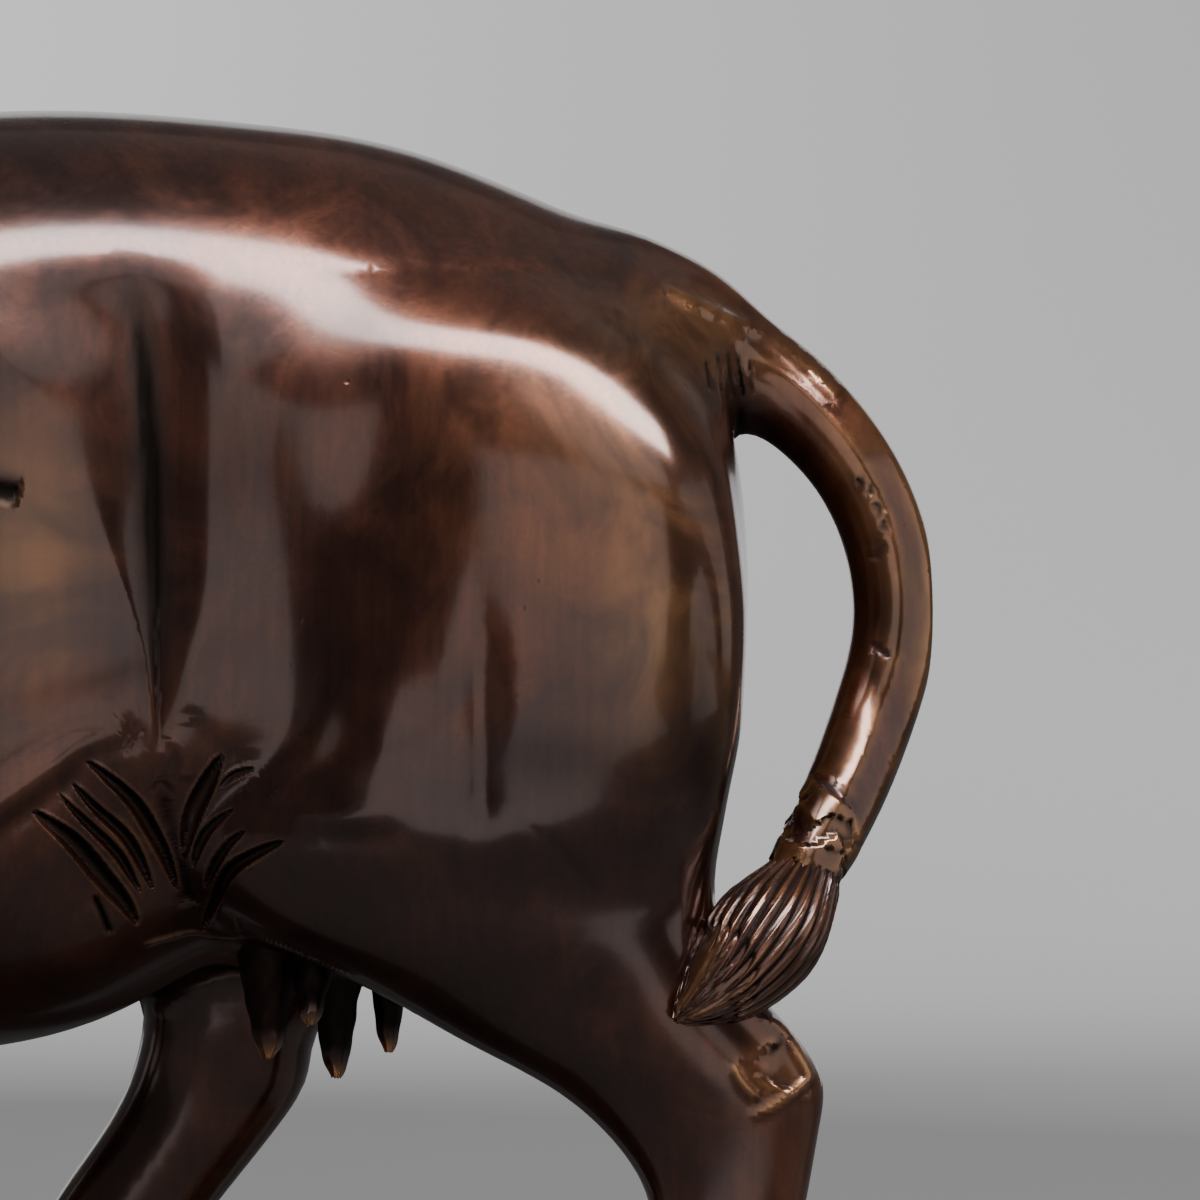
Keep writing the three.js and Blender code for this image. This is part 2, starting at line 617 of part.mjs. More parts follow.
// A stroke is cut by a slender lens laid along the skin
function makeStroke([x0, z0, x1, z1, x2, z2, width], side) {
  const shift = side > 0 ? strokeShift : 0;
  const points = [[x0, z0], [x1, z1], [x2, z2]].map(([x, z]) => new THREE.Vector3(x - shift, 0, z));
  const curve = new THREE.CatmullRomCurve3(points);
  const steps = 4;
  const rings = [];
  for (let i = 0; i <= steps; i++) {
    const t = i / steps;
    const flat = curve.getPoint(t);
    const middle = new THREE.Vector3(flat.x, skinAt(flat.x, flat.z, side), flat.z);
    const along = curve.getTangent(t);
    const swell = Math.max(Math.sqrt(Math.sin(Math.PI * t)), 0.12);
    const across = new THREE.Vector3(-along.z, 0, along.x).normalize().multiplyScalar((swell * width) / 2);
    const out = new THREE.Vector3(0, side * swell * strokeDepth, 0);
    rings.push([
      middle.clone().add(out).add(across),
      middle.clone().add(out).sub(across),
      middle.clone().sub(out),
    ].map((p) => p.toArray()));
  }
  if (side > 0) rings.forEach((ring) => ring.reverse());
  return solidOf(skinRings(rings));
}

function makeBuffalo() {
  let whole = solidOf(drawSurface(bodyDistance, lattice));
  const pieces = [
    makeLowerLeg(hindLegBack, left), makeLowerLeg(hindLegForward, right),
    makeLowerLeg(foreLegForward, left), makeLowerLeg(foreLegBack, right),
    makeTail(), makeTuft(), makeHorn(left), makeHorn(right), makeEar(left),
    makeEar(right), makeEye(left), makeEye(right), ...teats.map(makeTeat),
  ];
  for (const piece of pieces) whole = whole.add(piece);
  for (const side of [left, right])
    for (const stroke of foldStrokes) whole = whole.subtract(makeStroke(stroke, side));
  return whole;
}

function makePlinth() {
  const shape = new THREE.Shape();
  const x = plinthLength / 2 - plinthChamfer;
  const y = plinthWidth / 2 - plinthChamfer;
  const r = plinthCorner;
  shape.moveTo(x, -y + r);
  shape.absarc(x - r, y - r, r, 0, Math.PI / 2);
  shape.absarc(-x + r, y - r, r, Math.PI / 2, Math.PI);
  shape.absarc(-x + r, -y + r, r, Math.PI, 1.5 * Math.PI);
  shape.absarc(x - r, -y + r, r, 1.5 * Math.PI, 2 * Math.PI);
  const geometry = new THREE.ExtrudeGeometry(shape, {
    depth: plinthHeight - 2 * plinthChamfer,
    bevelThickness: plinthChamfer,
    bevelSize: plinthChamfer,
    bevelSegments: 1,
    curveSegments: 3,
  });
  geometry.translate(plinthMiddle, 0, plinthChamfer);
  return solidOfGeometry(geometry);
}

function meshOf(name, solid, material) {
  const made = solid.getMesh();
  const geometry = new THREE.BufferGeometry();
  geometry.setAttribute("position", new THREE.BufferAttribute(made.vertProperties, 3));
  geometry.setIndex(new THREE.BufferAttribute(made.triVerts, 1));
  geometry.computeVertexNormals();
  const mesh = new THREE.Mesh(geometry, material);
  mesh.name = name;
  return mesh;
}

const patinatedBrass = new THREE.MeshStandardMaterial({ color: 0x4a2416, roughness: 0.28, metalness: 0.85 });
const plinthBrass = new THREE.MeshStandardMaterial({ color: 0x3a2018, roughness: 0.36, metalness: 0.85 });

const buffalo = meshOf("buffalo", makeBuffalo(), patinatedBrass);
buffalo.position.z = plinthHeight + restGap;
const plinth = meshOf("plinth", makePlinth(), plinthBrass);

const statue = new THREE.Group();
statue.add(buffalo, plinth);
const extent = new THREE.Box3().setFromObject(statue);
statue.position.set(-(extent.min.x + extent.max.x) / 2, -(extent.min.y + extent.max.y) / 2, 0);

export default statue;
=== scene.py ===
import bpy
import bmesh
import math
import time
import numpy as np
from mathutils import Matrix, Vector


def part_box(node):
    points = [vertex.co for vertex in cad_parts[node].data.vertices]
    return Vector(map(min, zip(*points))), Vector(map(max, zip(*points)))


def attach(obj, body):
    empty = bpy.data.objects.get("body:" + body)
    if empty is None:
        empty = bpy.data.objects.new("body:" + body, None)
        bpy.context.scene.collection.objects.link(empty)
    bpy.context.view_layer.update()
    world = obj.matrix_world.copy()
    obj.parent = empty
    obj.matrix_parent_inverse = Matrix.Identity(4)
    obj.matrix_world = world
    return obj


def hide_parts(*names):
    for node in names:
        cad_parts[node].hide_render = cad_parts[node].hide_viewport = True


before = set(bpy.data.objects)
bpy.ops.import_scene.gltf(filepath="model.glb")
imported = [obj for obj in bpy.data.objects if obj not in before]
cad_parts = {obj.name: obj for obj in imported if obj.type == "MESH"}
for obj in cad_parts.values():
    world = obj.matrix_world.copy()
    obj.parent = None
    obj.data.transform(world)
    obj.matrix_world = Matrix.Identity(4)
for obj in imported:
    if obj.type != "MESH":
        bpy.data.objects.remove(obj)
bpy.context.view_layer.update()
startTime = time.time()


def report(words):
    print(f"{time.time() - startTime:6.1f} s  {words}")


# The figure is drawn in mm, with x = 0 under the belly's lowest point and z = 0 at the soles
plinth = dict(middle=-53, restGap=0.3)
plinthLow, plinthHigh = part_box("plinth")
figureShift = np.array([
    (plinthLow[0] + plinthHigh[0]) * 500 - plinth["middle"],
    (plinthLow[1] + plinthHigh[1]) * 500,
    plinthHigh[2] * 1000 + plinth["restGap"],
])


def toFrame(points):  # from the figure's mm to the frame's metres
    return (np.asarray(points, float) + figureShift) / 1000


# The camera has the photograph's view, square on to the left side
photo = dict(at=(150, 0, 265), distance=1600, width=300, sensor=36, nearest=0.05, farthest=60)


def addObject(name, data):
    thing = bpy.data.objects.new(name, data)
    bpy.context.collection.objects.link(thing)
    return thing


def makeCamera():
    data = bpy.data.cameras.new("photoCamera")
    data.sensor_width = photo["sensor"]
    data.lens = photo["sensor"] * photo["distance"] / photo["width"]
    data.clip_start = photo["nearest"]
    data.clip_end = photo["farthest"]
    camera = addObject("photoCamera", data)
    x, y, z = photo["at"]
    camera.location = toFrame((x, y - photo["distance"], z))
    camera.rotation_euler = (math.pi / 2, 0, 0)
    bpy.context.scene.camera = camera


makeCamera()


def smoothRows(rows, samples=4000):  # natural cubic spline of every column on the first
    data = np.array(sorted(rows), float)
    at, value = data[:, 0], data[:, 1:]
    count = len(at)
    gap = np.diff(at)
    system = np.eye(count)
    pull = np.zeros_like(value)
    for i in range(1, count - 1):
        system[i, i - 1:i + 2] = gap[i - 1], 2 * (gap[i - 1] + gap[i]), gap[i]
        pull[i] = 6 * ((value[i + 1] - value[i]) / gap[i] - (value[i] - value[i - 1]) / gap[i - 1])
    bend = np.linalg.solve(system, pull)
    dense = np.linspace(at[0], at[-1], samples)
    i = np.clip(np.searchsorted(at, dense, side="right") - 1, 0, count - 2)
    b = ((dense - at[i]) / gap[i])[:, None]
    a = 1 - b
    curve = a * value[i] + b * value[i + 1]
    curve += ((a ** 3 - a) * bend[i] + (b ** 3 - b) * bend[i + 1]) * (gap[i] ** 2 / 6)[:, None]
    return lambda t: [np.interp(t, dense, column) for column in curve.T]


def smoothStep(t, low, high):
    s = np.clip((t - low) / (high - low), 0, 1)
    return s * s * (3 - 2 * s)


def fadeOut(t, low, high):
    return smoothStep(-t, -high, -low)


def bell(t):
    return np.exp(-t * t)


def unit(v):
    return v / np.maximum(np.linalg.norm(v, axis=-1, keepdims=True), 1e-9)


def softUnion(a, b, reach):
    h = np.maximum(reach - np.abs(a - b), 0) / reach
    return np.minimum(a, b) - h ** 3 * reach / 6


def softCut(a, b, reach):
    return -softUnion(-a, -b, reach)


def ovalDistance(across, up, u, v, fullness):
    share = (np.abs(u) ** fullness + np.abs(v) ** fullness) ** (1 / fullness)
    return np.hypot(across, up) * (1 - 1 / np.maximum(share, 1e-4))


trunk = dict(
    back=[(-392, 362), (-350, 378), (-305, 387), (-250, 393), (-205, 391), (-150, 384),
          (-90, 382), (-40, 384), (12, 387), (62, 384), (100, 378), (137, 364), (175, 346), (200, 331)],
    belly=[(-392, 322), (-350, 290), (-315, 250), (-285, 205), (-250, 173), (-200, 162),
           (-130, 157), (-60, 153), (0, 154), (31, 163), (62, 179), (100, 187), (140, 212), (175, 250),
           (200, 272)],
    breadth=[(-392, 27), (-350, 29), (-315, 36), (-280, 51), (-240, 63), (-180, 74),
             (-110, 82), (-50, 83.5), (0, 80), (40, 72), (90, 65), (140, 56), (175, 41), (200, 26)],
    broadest=[(-392, 0.5), (-300, 0.48), (-200, 0.46), (-60, 0.42), (20, 0.45), (80, 0.5), (200, 0.5)],
    # 2 is a plain oval, more is squarer: the section's upper part, then its lower part
    fullness=[(-392, 2.3, 2.3), (-60, 2.35, 2.35), (0, 2.4, 2.5), (50, 2.2, 2.7), (90, 1.9, 2.8),
              (140, 1.8, 2.8), (200, 1.8, 2.6)],
    rumpEnd=181, neckEnd=-392, endReach=20, neckReach=24,
)

# Rows of [z, front x, rear x, middle y, half thickness]
legs = dict(
    hindBack=[
        (345, 78, 138, 26, 20), (330, 76, 158, 31, 27), (315, 74, 172, 34.5, 30.5), (300, 76, 180, 37, 33),
        (280, 78, 184, 39, 34.7), (262, 80, 185.5, 40, 35), (245, 82, 185, 40, 34.5),
        (232, 79, 184, 40, 33.5), (221, 66, 182, 40, 32), (210, 50, 180, 40, 31),
        (194, 52, 178, 40, 27), (182, 69, 180.5, 40, 24), (170, 94, 188, 39, 21),
        (157, 117.5, 199.5, 38, 18.5), (147, 136.5, 204.3, 38, 16.5), (137, 149.5, 203.6, 38, 15),
        (120, 161.3, 200.6, 38, 13.5), (95, 162, 195, 38, 12.5), (70, 162, 191, 38, 12.5),
        (48, 158, 192, 38, 15.5), (34, 154, 188, 38, 15), (22, 147, 191, 38, 18.5), (0, 136, 194, 38, 22)],
    hindForward=[
        (345, 82, 138, 26, 20), (330, 75, 158, 31, 27), (315, 72, 172, 34.5, 30.5), (300, 71, 180, 37, 33),
        (280, 70, 183, 39, 34.7), (262, 67, 182, 40, 35), (245, 63, 178, 40, 34.5),
        (232, 57, 173, 40, 33.5), (221, 44, 166, 40, 32), (210, 29, 158, 40, 31),
        (192, 28, 134, 40, 27), (180, 31, 112, 40, 24), (168, 34, 92, 39, 21),
        (155, 33, 78, 38, 18.5), (143, 30, 75, 38, 16.5), (131, 24, 68, 38, 15), (112, 11, 53, 38, 13.5),
        (92, 1, 38, 38, 12.5), (70, -10, 23, 38, 12.5), (48, -25, 12, 38, 15.5), (34, -34, 1, 38, 15),
        (22, -46, -2, 38, 18.5), (0, -61, -4, 38, 22)],
    foreForward=[
        (340, -262, -196, 36, 24), (290, -284, -178, 44, 32), (250, -290, -176, 46, 33),
        (215, -284, -184, 45, 29), (190, -274, -198, 43, 24), (165, -269, -212, 41, 20),
        (140, -268, -222, 40, 17), (115, -271, -228, 39, 17), (96, -269, -234, 39, 14),
        (70, -272, -240, 39, 13), (48, -279, -242, 39, 16), (34, -286, -249, 39, 15),
        (22, -294, -247, 39, 18.5), (0, -306, -246, 39, 22.5)],
    foreBack=[
        (340, -258, -192, 36, 24), (290, -278, -172, 44, 32), (250, -281, -168, 46, 33),
        (215, -270, -172, 45, 29), (190, -256, -181, 43, 24), (165, -244, -188, 41, 20),
        (140, -235, -189, 40, 17), (115, -230, -187, 39, 17), (96, -220, -184, 39, 14),
        (70, -208, -176, 39, 13), (48, -203, -166, 39, 16), (34, -202, -165, 39, 15),
        (22, -206, -160, 39, 18.5), (0, -217, -157, 39, 22.5)],
    hindTop=345, foreTop=350, fullness=2.3, soleEnd=-12, topReach=22, hindSeam=20, foreSeam=18,
    # [z, front half, rear half]
    thighFullness=[(340, 2.3, 2.3), (300, 2.8, 3.4), (265, 3.2, 5), (235, 3.1, 5), (220, 3, 3.6),
                   (190, 2.4, 2.4), (170, 2.3, 2.3), (0, 2.3, 2.3)],
)

head = dict(
    poll=(-362, 356), slope=math.radians(43), back=-20, muzzle=152, fullness=2.4, endReach=16, seam=18,
    # [along, above the line, below the line, half breadth]
    rows=[(-22, 14, 24, 24), (0, 23, 40, 32), (24, 27, 48, 36), (46, 25.5, 50, 37), (70, 21, 43, 31),
          (94, 17.5, 34, 27), (118, 17, 30, 28), (138, 17, 30, 30.5), (152, 14, 27, 28)],
)

udder = dict(at=(80, 0, 196), half=(40, 36, 26), seam=10)

# Muscles and dips: [x, z, reach along x, reach along z, height, how far forward it lies on the right]
muscles = [
    (46, 203, 24, 21, -4.5, 26), (-176, 300, 11, 60, -4, 0),
    (94, 233, 12, 18, 3.6, 16), (122, 236, 4.5, 22, -1.6, 14), (172, 238, 5, 40, -2.5, 8),
    (80, 300, 13, 26, 1.6, 4), (100, 292, 16, 30, -1.8, 6),
    (-232, 262, 26, 34, 4, 0), (-212, 345, 20, 30, 2.5, 0),
]

# The hollow of the flank: [z, front edge, deepest, rear edge, depth]
flankHollow = [
    (350, -30, 38, 59, 0), (344, -22, 38, 58.5, 0.7), (336.6, -10, 37.9, 57.7, 2.6),
    (325.8, 5, 38.8, 57, 4.2), (312.7, 15.3, 40.3, 56.5, 4.6), (288.9, 27.2, 42, 56, 4.6),
    (265, 37.2, 43.4, 55.6, 3.6),
    (253, 41, 44, 52.5, 2.8), (241, 42.5, 44.4, 48.5, 2), (228, 42.5, 44.4, 48, 0),
]

# How far forward it lies on the right, how round its rear edge is, how it fades out, and its old dirt
hollowForm = dict(shiftOnRight=8, edge=3.0, blend=0.25, steep=1.6, fade=(12, 42), grimeAndShade=0.22, grimeReach=5)

tail = dict(
    rows=[(156, 0, 337, 16), (172, 0, 331, 15), (186.3, 0, 323.3, 13), (196.5, 0, 316.5, 12),
          (205, -1, 308.5, 11.3), (213.2, -2, 298, 10.8), (219, -3, 286.5, 10.6), (222.8, -5, 272, 10.6),
          (223.4, -7, 259, 10.6), (221.2, -10, 247, 10.5), (217.4, -14, 235.3, 10.4),
          (209.1, -27, 215.8, 10), (204.1, -33, 206.2, 9.6), (199.3, -38, 196.7, 8.8)],
    seam=20, margin=26, facetCut=0.9, facetEdge=1.2,
    # [along, how far the filed face turns outwards]
    facetTurn=[(0, 0.7), (60, 0.7), (95, 0.58), (150, 0.5), (200, 0.36), (260, 0.2)],
)

# Lines carved or raised on the flank: [x, z] along each, in the left side's places
carving = dict(
    shiftOnRight=26, rimAt=0.35, rimWidth=0.4, rimHeight=0.13, rimWear=0.15, strokeDirt=0.3, ridgeWear=0.5,
    strokes=[  # width, depth, points
        (4.0, 2.0, [(27.4, 226.6), (33.9, 220.9), (38.9, 215.4), (42.2, 209.4), (45.1, 203), (47.9, 194.2)]),
        (3.2, 1.7, [(24.1, 221.1), (29.8, 214.5), (35.5, 208.7), (39.1, 202.5), (42, 194.9)]),
        (2.7, 1.5, [(20.8, 218.5), (27.2, 211.4), (33.2, 204.9), (36.3, 199.9), (39.1, 194.4)]),
        (5.2, 2.2, [(14.8, 214.5), (20.8, 209.7), (25.5, 204.9), (30.8, 197.8), (35.1, 192), (38.2, 186.3)]),
        (4.8, 2.1, [(59.4, 227.8), (56.3, 222.1), (53.2, 216.1), (51, 210.2), (49.6, 202.5)]),
        (1.8, 0.7, [(67, 224.7), (62, 222.8), (58.7, 219.9)]),
        (2.6, 1.3, [(62, 214.9), (56.3, 210.4), (53.2, 205.4), (51.5, 200.1)]),
        (2.6, 1.3, [(64.9, 209.9), (59.9, 205.4), (56.3, 199.7), (54.4, 195.4)]),
        (3.6, 1.9, [(74.2, 207.3), (67.7, 204.2), (61.3, 200.1), (57.5, 194.2), (52.5, 183.7)]),
    ],
    creases=[  # width, depth, how dirty, points
        (3.6, 0.7, 0.3, [(-20, 196), (-0.2, 205.4), (6.9, 210.4), (12.7, 214.2), (18.1, 218.7), (23.2, 222.8),
                         (26, 226.6), (32.2, 229.9), (38.4, 231.4), (42.9, 231.1)]),
        (3.4, 0.5, 0, [(-14, 208), (-0.2, 216.1), (6.9, 222.1), (12.7, 226.6), (20.5, 231.4), (27.7, 234.2),
                       (36.3, 235.4), (41.7, 236.1)]),
        (3.4, 0.3, 0.05, [(49.1, 239.7), (53.7, 234), (57.5, 229.9), (66.5, 224.9), (69.9, 222.1)]),
        (4.6, 0.5, 0.2, [(66, 223), (74.4, 213.3), (85.6, 208.7), (107.1, 209.2)]),
        (2.6, 0.8, 0.3, [(44.4, 224.5), (46.3, 210.2), (49.4, 198.2), (50.5, 190)]),
        (0.9, 0.5, 0.6, [(27.9, 194.4), (30.1, 189.2), (31.7, 183.9)]),
        (1.4, 0.06, 0.25, [(130.9, 211.4), (140.5, 205.4), (151.2, 192.3)]),
        (3.2, 1.3, 1.2, [(-22, 284), (-4, 290.5), (6.9, 291.2), (12.5, 290)]),
        (4.6, 0.9, 0.1, [(190.5, 158), (193.5, 152.5), (192, 147)]),
        # file marks under the tail's root, then chips along the tail
        (0.6, 0.25, 0.6, [(176, 324.5), (177, 315.8)]), (0.6, 0.25, 0.6, [(178.8, 326.5), (180.3, 315.1)]),
        (0.6, 0.3, 0.6, [(181.5, 327), (183, 314.6)]), (0.6, 0.25, 0.6, [(184.2, 326.5), (185.7, 315.1)]),
        (0.6, 0.25, 0.6, [(187, 325.5), (187.9, 315.8)]),
        (1.0, 0.2, 0.9, [(213.6, 295.4), (215.4, 293)]), (0.9, 0.2, 0.9, [(216.4, 293), (217.6, 291)]),
        (1.1, 0.2, 0.9, [(218.4, 289.6), (220, 286.4)]), (1.0, 0.2, 0.9, [(220, 285), (221.4, 281.8)]),
        (0.9, 0.2, 0.8, [(221, 279.6), (217.6, 275)]), (0.8, 0.2, 0.8, [(217.2, 254.2), (221.8, 250.4)]),
    ],
    ridges=[
        (5.0, 0.9, [(-17, 202), (-0.2, 210.8), (6.9, 216.3), (12.7, 220.4), (19.3, 225), (25.5, 228.9),
                    (34, 232.7), (40, 233.7)]),
        (2.0, 0.35, [(46.3, 234), (49.9, 227.8), (50.8, 221.1)]),
        (3.6, 0.3, [(62, 229.5), (68.7, 223.3), (74.4, 217), (85.6, 212.8), (107.1, 212)]),
        (0.8, 0.6, [(38, 180.6), (41.3, 181.8), (48.4, 183.7), (52.5, 183.7), (60.3, 182.5), (69.4, 182),
                    (84.2, 177), (92.8, 172)]),
        (0.6, 0.4, [(61.5, 188.7), (61.5, 183.5)]),
        # round the hock
        (1.3, 0.8, [(187.4, 163.8), (194.1, 160.9), (199.9, 151.7), (199.9, 148.4), (194.1, 144),
                    (185.2, 139.4)]),
        (1.6, 0.6, [(181.8, 154.1), (184.7, 148.4), (188.6, 144.5)]),
        # on top of the tail's root
        (2.0, 0.9, [(159.2, 346.1), (177, 336.4), (191.2, 331), (204.1, 320.3), (210.5, 313)]),
    ],
)

left, right = -1, 1
backAt, bellyAt, breadthAt, broadestAt, fullnessAt = (
    smoothRows(trunk[name]) for name in ("back", "belly", "breadth", "broadest", "fullness"))
headAt = smoothRows(head["rows"])
hollowAt = smoothRows(flankHollow)
legFullnessAt = smoothRows(legs["thighFullness"])
legSet = [
    (smoothRows(legs["hindBack"]), legs["hindTop"], left, legs["hindSeam"]),
    (smoothRows(legs["hindForward"]), legs["hindTop"], right, legs["hindSeam"]),
    (smoothRows(legs["foreForward"]), legs["foreTop"], left, legs["foreSeam"]),
    (smoothRows(legs["foreBack"]), legs["foreTop"], right, legs["foreSeam"]),
]


def trunkDistance(x, y, z):
    top, low = backAt(x)[0], bellyAt(x)[0]
    half, share = breadthAt(x)[0], broadestAt(x)[0]
    middle = low + (top - low) * share
    up = z - middle
    reach = np.where(up > 0, top - middle, middle - low)
    upper, lower = fullnessAt(x)
    d = ovalDistance(y, up, y / half, up / reach, np.where(up > 0, upper, lower))
    d = softCut(d, x - trunk["rumpEnd"], trunk["endReach"])
    return softCut(d, trunk["neckEnd"] - x, trunk["neckReach"])


def legDistance(x, y, z, rowsAt, top, side):
    front, rear, middle, thick = rowsAt(z)
    half = (rear - front) / 2
    along = x - (front + rear) / 2
    ahead, behind = legFullnessAt(z)
    fullness = np.where(along > 0, behind, ahead) if top == legs["hindTop"] else legs["fullness"]
    across = y - side * middle
    d = ovalDistance(along, across, along / half, across / thick, fullness) * 0.9
    return np.maximum(softCut(d, z - top, legs["topReach"]), legs["soleEnd"] - z)


def headPlace(x, z):  # along the face from the poll, and up from its line
    c, s = math.cos(head["slope"]), math.sin(head["slope"])
    dx, dz = x - head["poll"][0], z - head["poll"][1]
    return -dx * c - dz * s, -dx * s + dz * c


def headDistance(x, y, z):
    along, up = headPlace(x, z)
    above, below, half = headAt(along)
    reach = np.where(up > 0, above, below)
    d = ovalDistance(y, up, y / half, up / reach, head["fullness"])
    d = softCut(d, along - head["muzzle"], head["endReach"])
    return softCut(d, head["back"] - along, head["endReach"])


def udderDistance(x, y, z):
    px, pz = x - udder["at"][0], z - udder["at"][2]
    hx, hy, hz = udder["half"]
    share = np.sqrt((px / hx) ** 2 + (y / hy) ** 2 + (pz / hz) ** 2)
    return np.sqrt(px ** 2 + y ** 2 + pz ** 2) * (1 - 1 / np.maximum(share, 1e-4))


class PathField:
    # a smooth curve with a radius that changes along it
    def __init__(self, rows):
        points = np.array([row[:3] for row in rows], float)
        walked = np.concatenate([[0], np.cumsum(np.linalg.norm(np.diff(points, axis=0), axis=1))])
        self.length = walked[-1]
        self.at = smoothRows([(w, *row) for w, row in zip(walked, rows)], 2000)
        self.samples = np.linspace(0, self.length, 90)
        self.places = self.place(self.samples)

    def place(self, t):
        return np.stack(self.at(t)[:3], 1)

    def slope(self, t):
        return self.place(t + 0.5) - self.place(t - 0.5)

    def nearest(self, p):
        t = np.empty(len(p))
        for i in range(0, len(p), 20000):
            part = p[i:i + 20000]
            gaps = ((part[:, None, :] - self.places[None]) ** 2).sum(2)
            t[i:i + 20000] = self.samples[gaps.argmin(1)]
        for turn in range(4):
            slope = self.slope(t)
            steep = np.maximum((slope ** 2).sum(1), 1e-6)
            t = np.clip(t + ((p - self.place(t)) * slope).sum(1) / steep * 0.9, 0, self.length)
        return t


tailPath = PathField(tail["rows"])
facetTurnAt = smoothRows(tail["facetTurn"])
tailLow = tailPath.places.min(0) - tail["margin"]
tailHigh = tailPath.places.max(0) + tail["margin"]


def tailDistance(p):
    # the near side and its mirror image are filed to a flat face, which turns a little outwards
    t = tailPath.nearest(p)
    radius = tailPath.at(t)[3]
    away = p - tailPath.place(t)
    ahead = unit(tailPath.slope(t))
    outward = unit(np.cross([[0.0, 1.0, 0.0]], ahead))
    outward *= np.sign(outward[:, :1] + outward[:, 2:] + 1e-9)
    sideways = unit(np.cross(ahead, outward))
    sideways *= -np.sign(sideways[:, 1:2] + 1e-9)
    turn = facetTurnAt(t)[0][:, None]
    flat = ((sideways * np.cos(turn) + outward * np.sin(turn)) * away).sum(1) - radius * tail["facetCut"]
    return softCut(np.linalg.norm(away, axis=1) - radius, flat, tail["facetEdge"])


def hollowPlace(x, y, z):  # how far along the flank, the hollow's places there, and its depth
    front, deepest, rear, depth = hollowAt(z)
    along = np.where(y > 0, x + hollowForm["shiftOnRight"], x)
    inside = (z > flankHollow[-1][0]) & (z < flankHollow[0][0])
    return along, front, deepest, rear, np.where(inside, depth, 0)


def muscleHeight(x, y, z):
    total = np.zeros_like(x)
    for mx, mz, rx, rz, height, shift in muscles:
        middle = np.where(y > 0, mx - shift, mx)
        total += height * bell((x - middle) / rx) * bell((z - mz) / rz)
    along, front, deepest, rear, depth = hollowPlace(x, y, z)
    fall = np.clip((along - front) / (deepest - front), 0, 2) ** hollowForm["steep"]
    # the rear wall is straight, and turns over a rounded edge
    wall, edge = rear - along, hollowForm["edge"]
    wall = np.where(wall > edge, wall, np.maximum(wall + edge, 0) ** 2 / (4 * edge))
    total -= depth * softUnion(fall, wall / (rear - deepest), hollowForm["blend"])
    return total * smoothStep(np.abs(y), *hollowForm["fade"])


def broadForm(p):
    x, y, z = p.T
    d = trunkDistance(x, y, z)
    for rowsAt, top, side, reach in legSet:
        d = softUnion(d, legDistance(x, y, z, rowsAt, top, side), reach)
    d = softUnion(d, headDistance(x, y, z), head["seam"])
    d = softUnion(d, udderDistance(x, y, z), udder["seam"])
    d = d - muscleHeight(x, y, z)
    near = ((p > tailLow) & (p < tailHigh)).all(1)
    if near.any():
        d[near] = softUnion(d[near], tailDistance(p[near]), tail["seam"])
    return np.maximum(d, -z)


def alongLine(x, z, points):
    # distance from a smooth line, and how far along it that is (0 to 1)
    rows = [(i, px, pz) for i, (px, pz) in enumerate(points)]
    t = np.linspace(0, len(points) - 1, 12 * (len(points) - 1) + 1)
    px, pz = smoothRows(rows, 400)(t)
    gaps = (x[:, None] - px) ** 2 + (z[:, None] - pz) ** 2
    best = gaps.argmin(1)
    return np.sqrt(gaps.min(1)), best / (len(t) - 1)


def carvingPlace(p):  # where a point lies on the left side's drawing, and whether it faces the side
    x, y, z = p.T
    onTail = (x > 150) & (z > 244)
    shifted = np.where((y > 0) & ~onTail, x + carving["shiftOnRight"], x)
    return shifted, np.where(onTail, smoothStep(np.abs(y), 2, 7), smoothStep(np.abs(y), 20, 30))


def nearLine(x, z, onSide, points, reach):
    low, high = np.min(points, 0) - reach, np.max(points, 0) + reach
    return np.nonzero((x > low[0]) & (x < high[0]) & (z > low[1]) & (z < high[1]) & (onSide > 0))[0]


def softLine(x, z, onSide, points, width):  # the points near a line, and how far each is in it
    near = nearLine(x, z, onSide, points, width * 3)
    gap, t = alongLine(x[near], z[near], points)
    return near, bell(gap / width) * smoothStep(t, 0, 0.2) * fadeOut(t, 0.85, 1) * onSide[near]


def carveFlank(p):
    # height of the carving, and how dark (1) or worn bright (-1) it is there
    z = p[:, 2]
    x, onSide = carvingPlace(p)
    height, dirt = np.zeros(len(p)), np.zeros(len(p))
    for width, depth, points in carving["ridges"]:
        near, rise = softLine(x, z, onSide, points, width)
        height[near] += depth * rise
        if width < 1:
            dirt[near] -= carving["ridgeWear"] * rise
    for width, depth, grimeAndShade, points in carving["creases"]:
        near, fall = softLine(x, z, onSide, points, width)
        height[near] -= depth * fall
        dirt[near] += grimeAndShade * fall
    for width, depth, points in carving["strokes"]:
        near = nearLine(x, z, onSide, points, width + 3)
        gap, t = alongLine(x[near], z[near], points)
        swell = np.sqrt(np.sin(np.pi * np.clip(t, 0.003, 0.997)))
        reach = gap / (width / 2 * swell)
        floor = np.clip(1 - reach ** 2, 0, 1) ** 0.8
        rim = bell((gap - width / 2 * swell - carving["rimAt"]) / carving["rimWidth"]) * swell
        height[near] = np.where(floor > 0, height[near] - depth * swell * floor, height[near])
        height[near] += carving["rimHeight"] * rim
        broken = 0.5 + 0.5 * np.sin(9 * t + width * 5)
        dirt[near] += carving["strokeDirt"] * smoothStep(floor, 0.05, 0.5)
        dirt[near] -= carving["rimWear"] * rim * broken * (floor <= 0)
    # old dirt lies along the bottom of the flank's hollow
    along, _, deepest, _, depth = hollowPlace(*p.T)
    dirt += hollowForm["grimeAndShade"] * depth * bell((along - deepest - 1) / hollowForm["grimeReach"]) * onSide
    return height, np.clip(dirt, -1, 1)


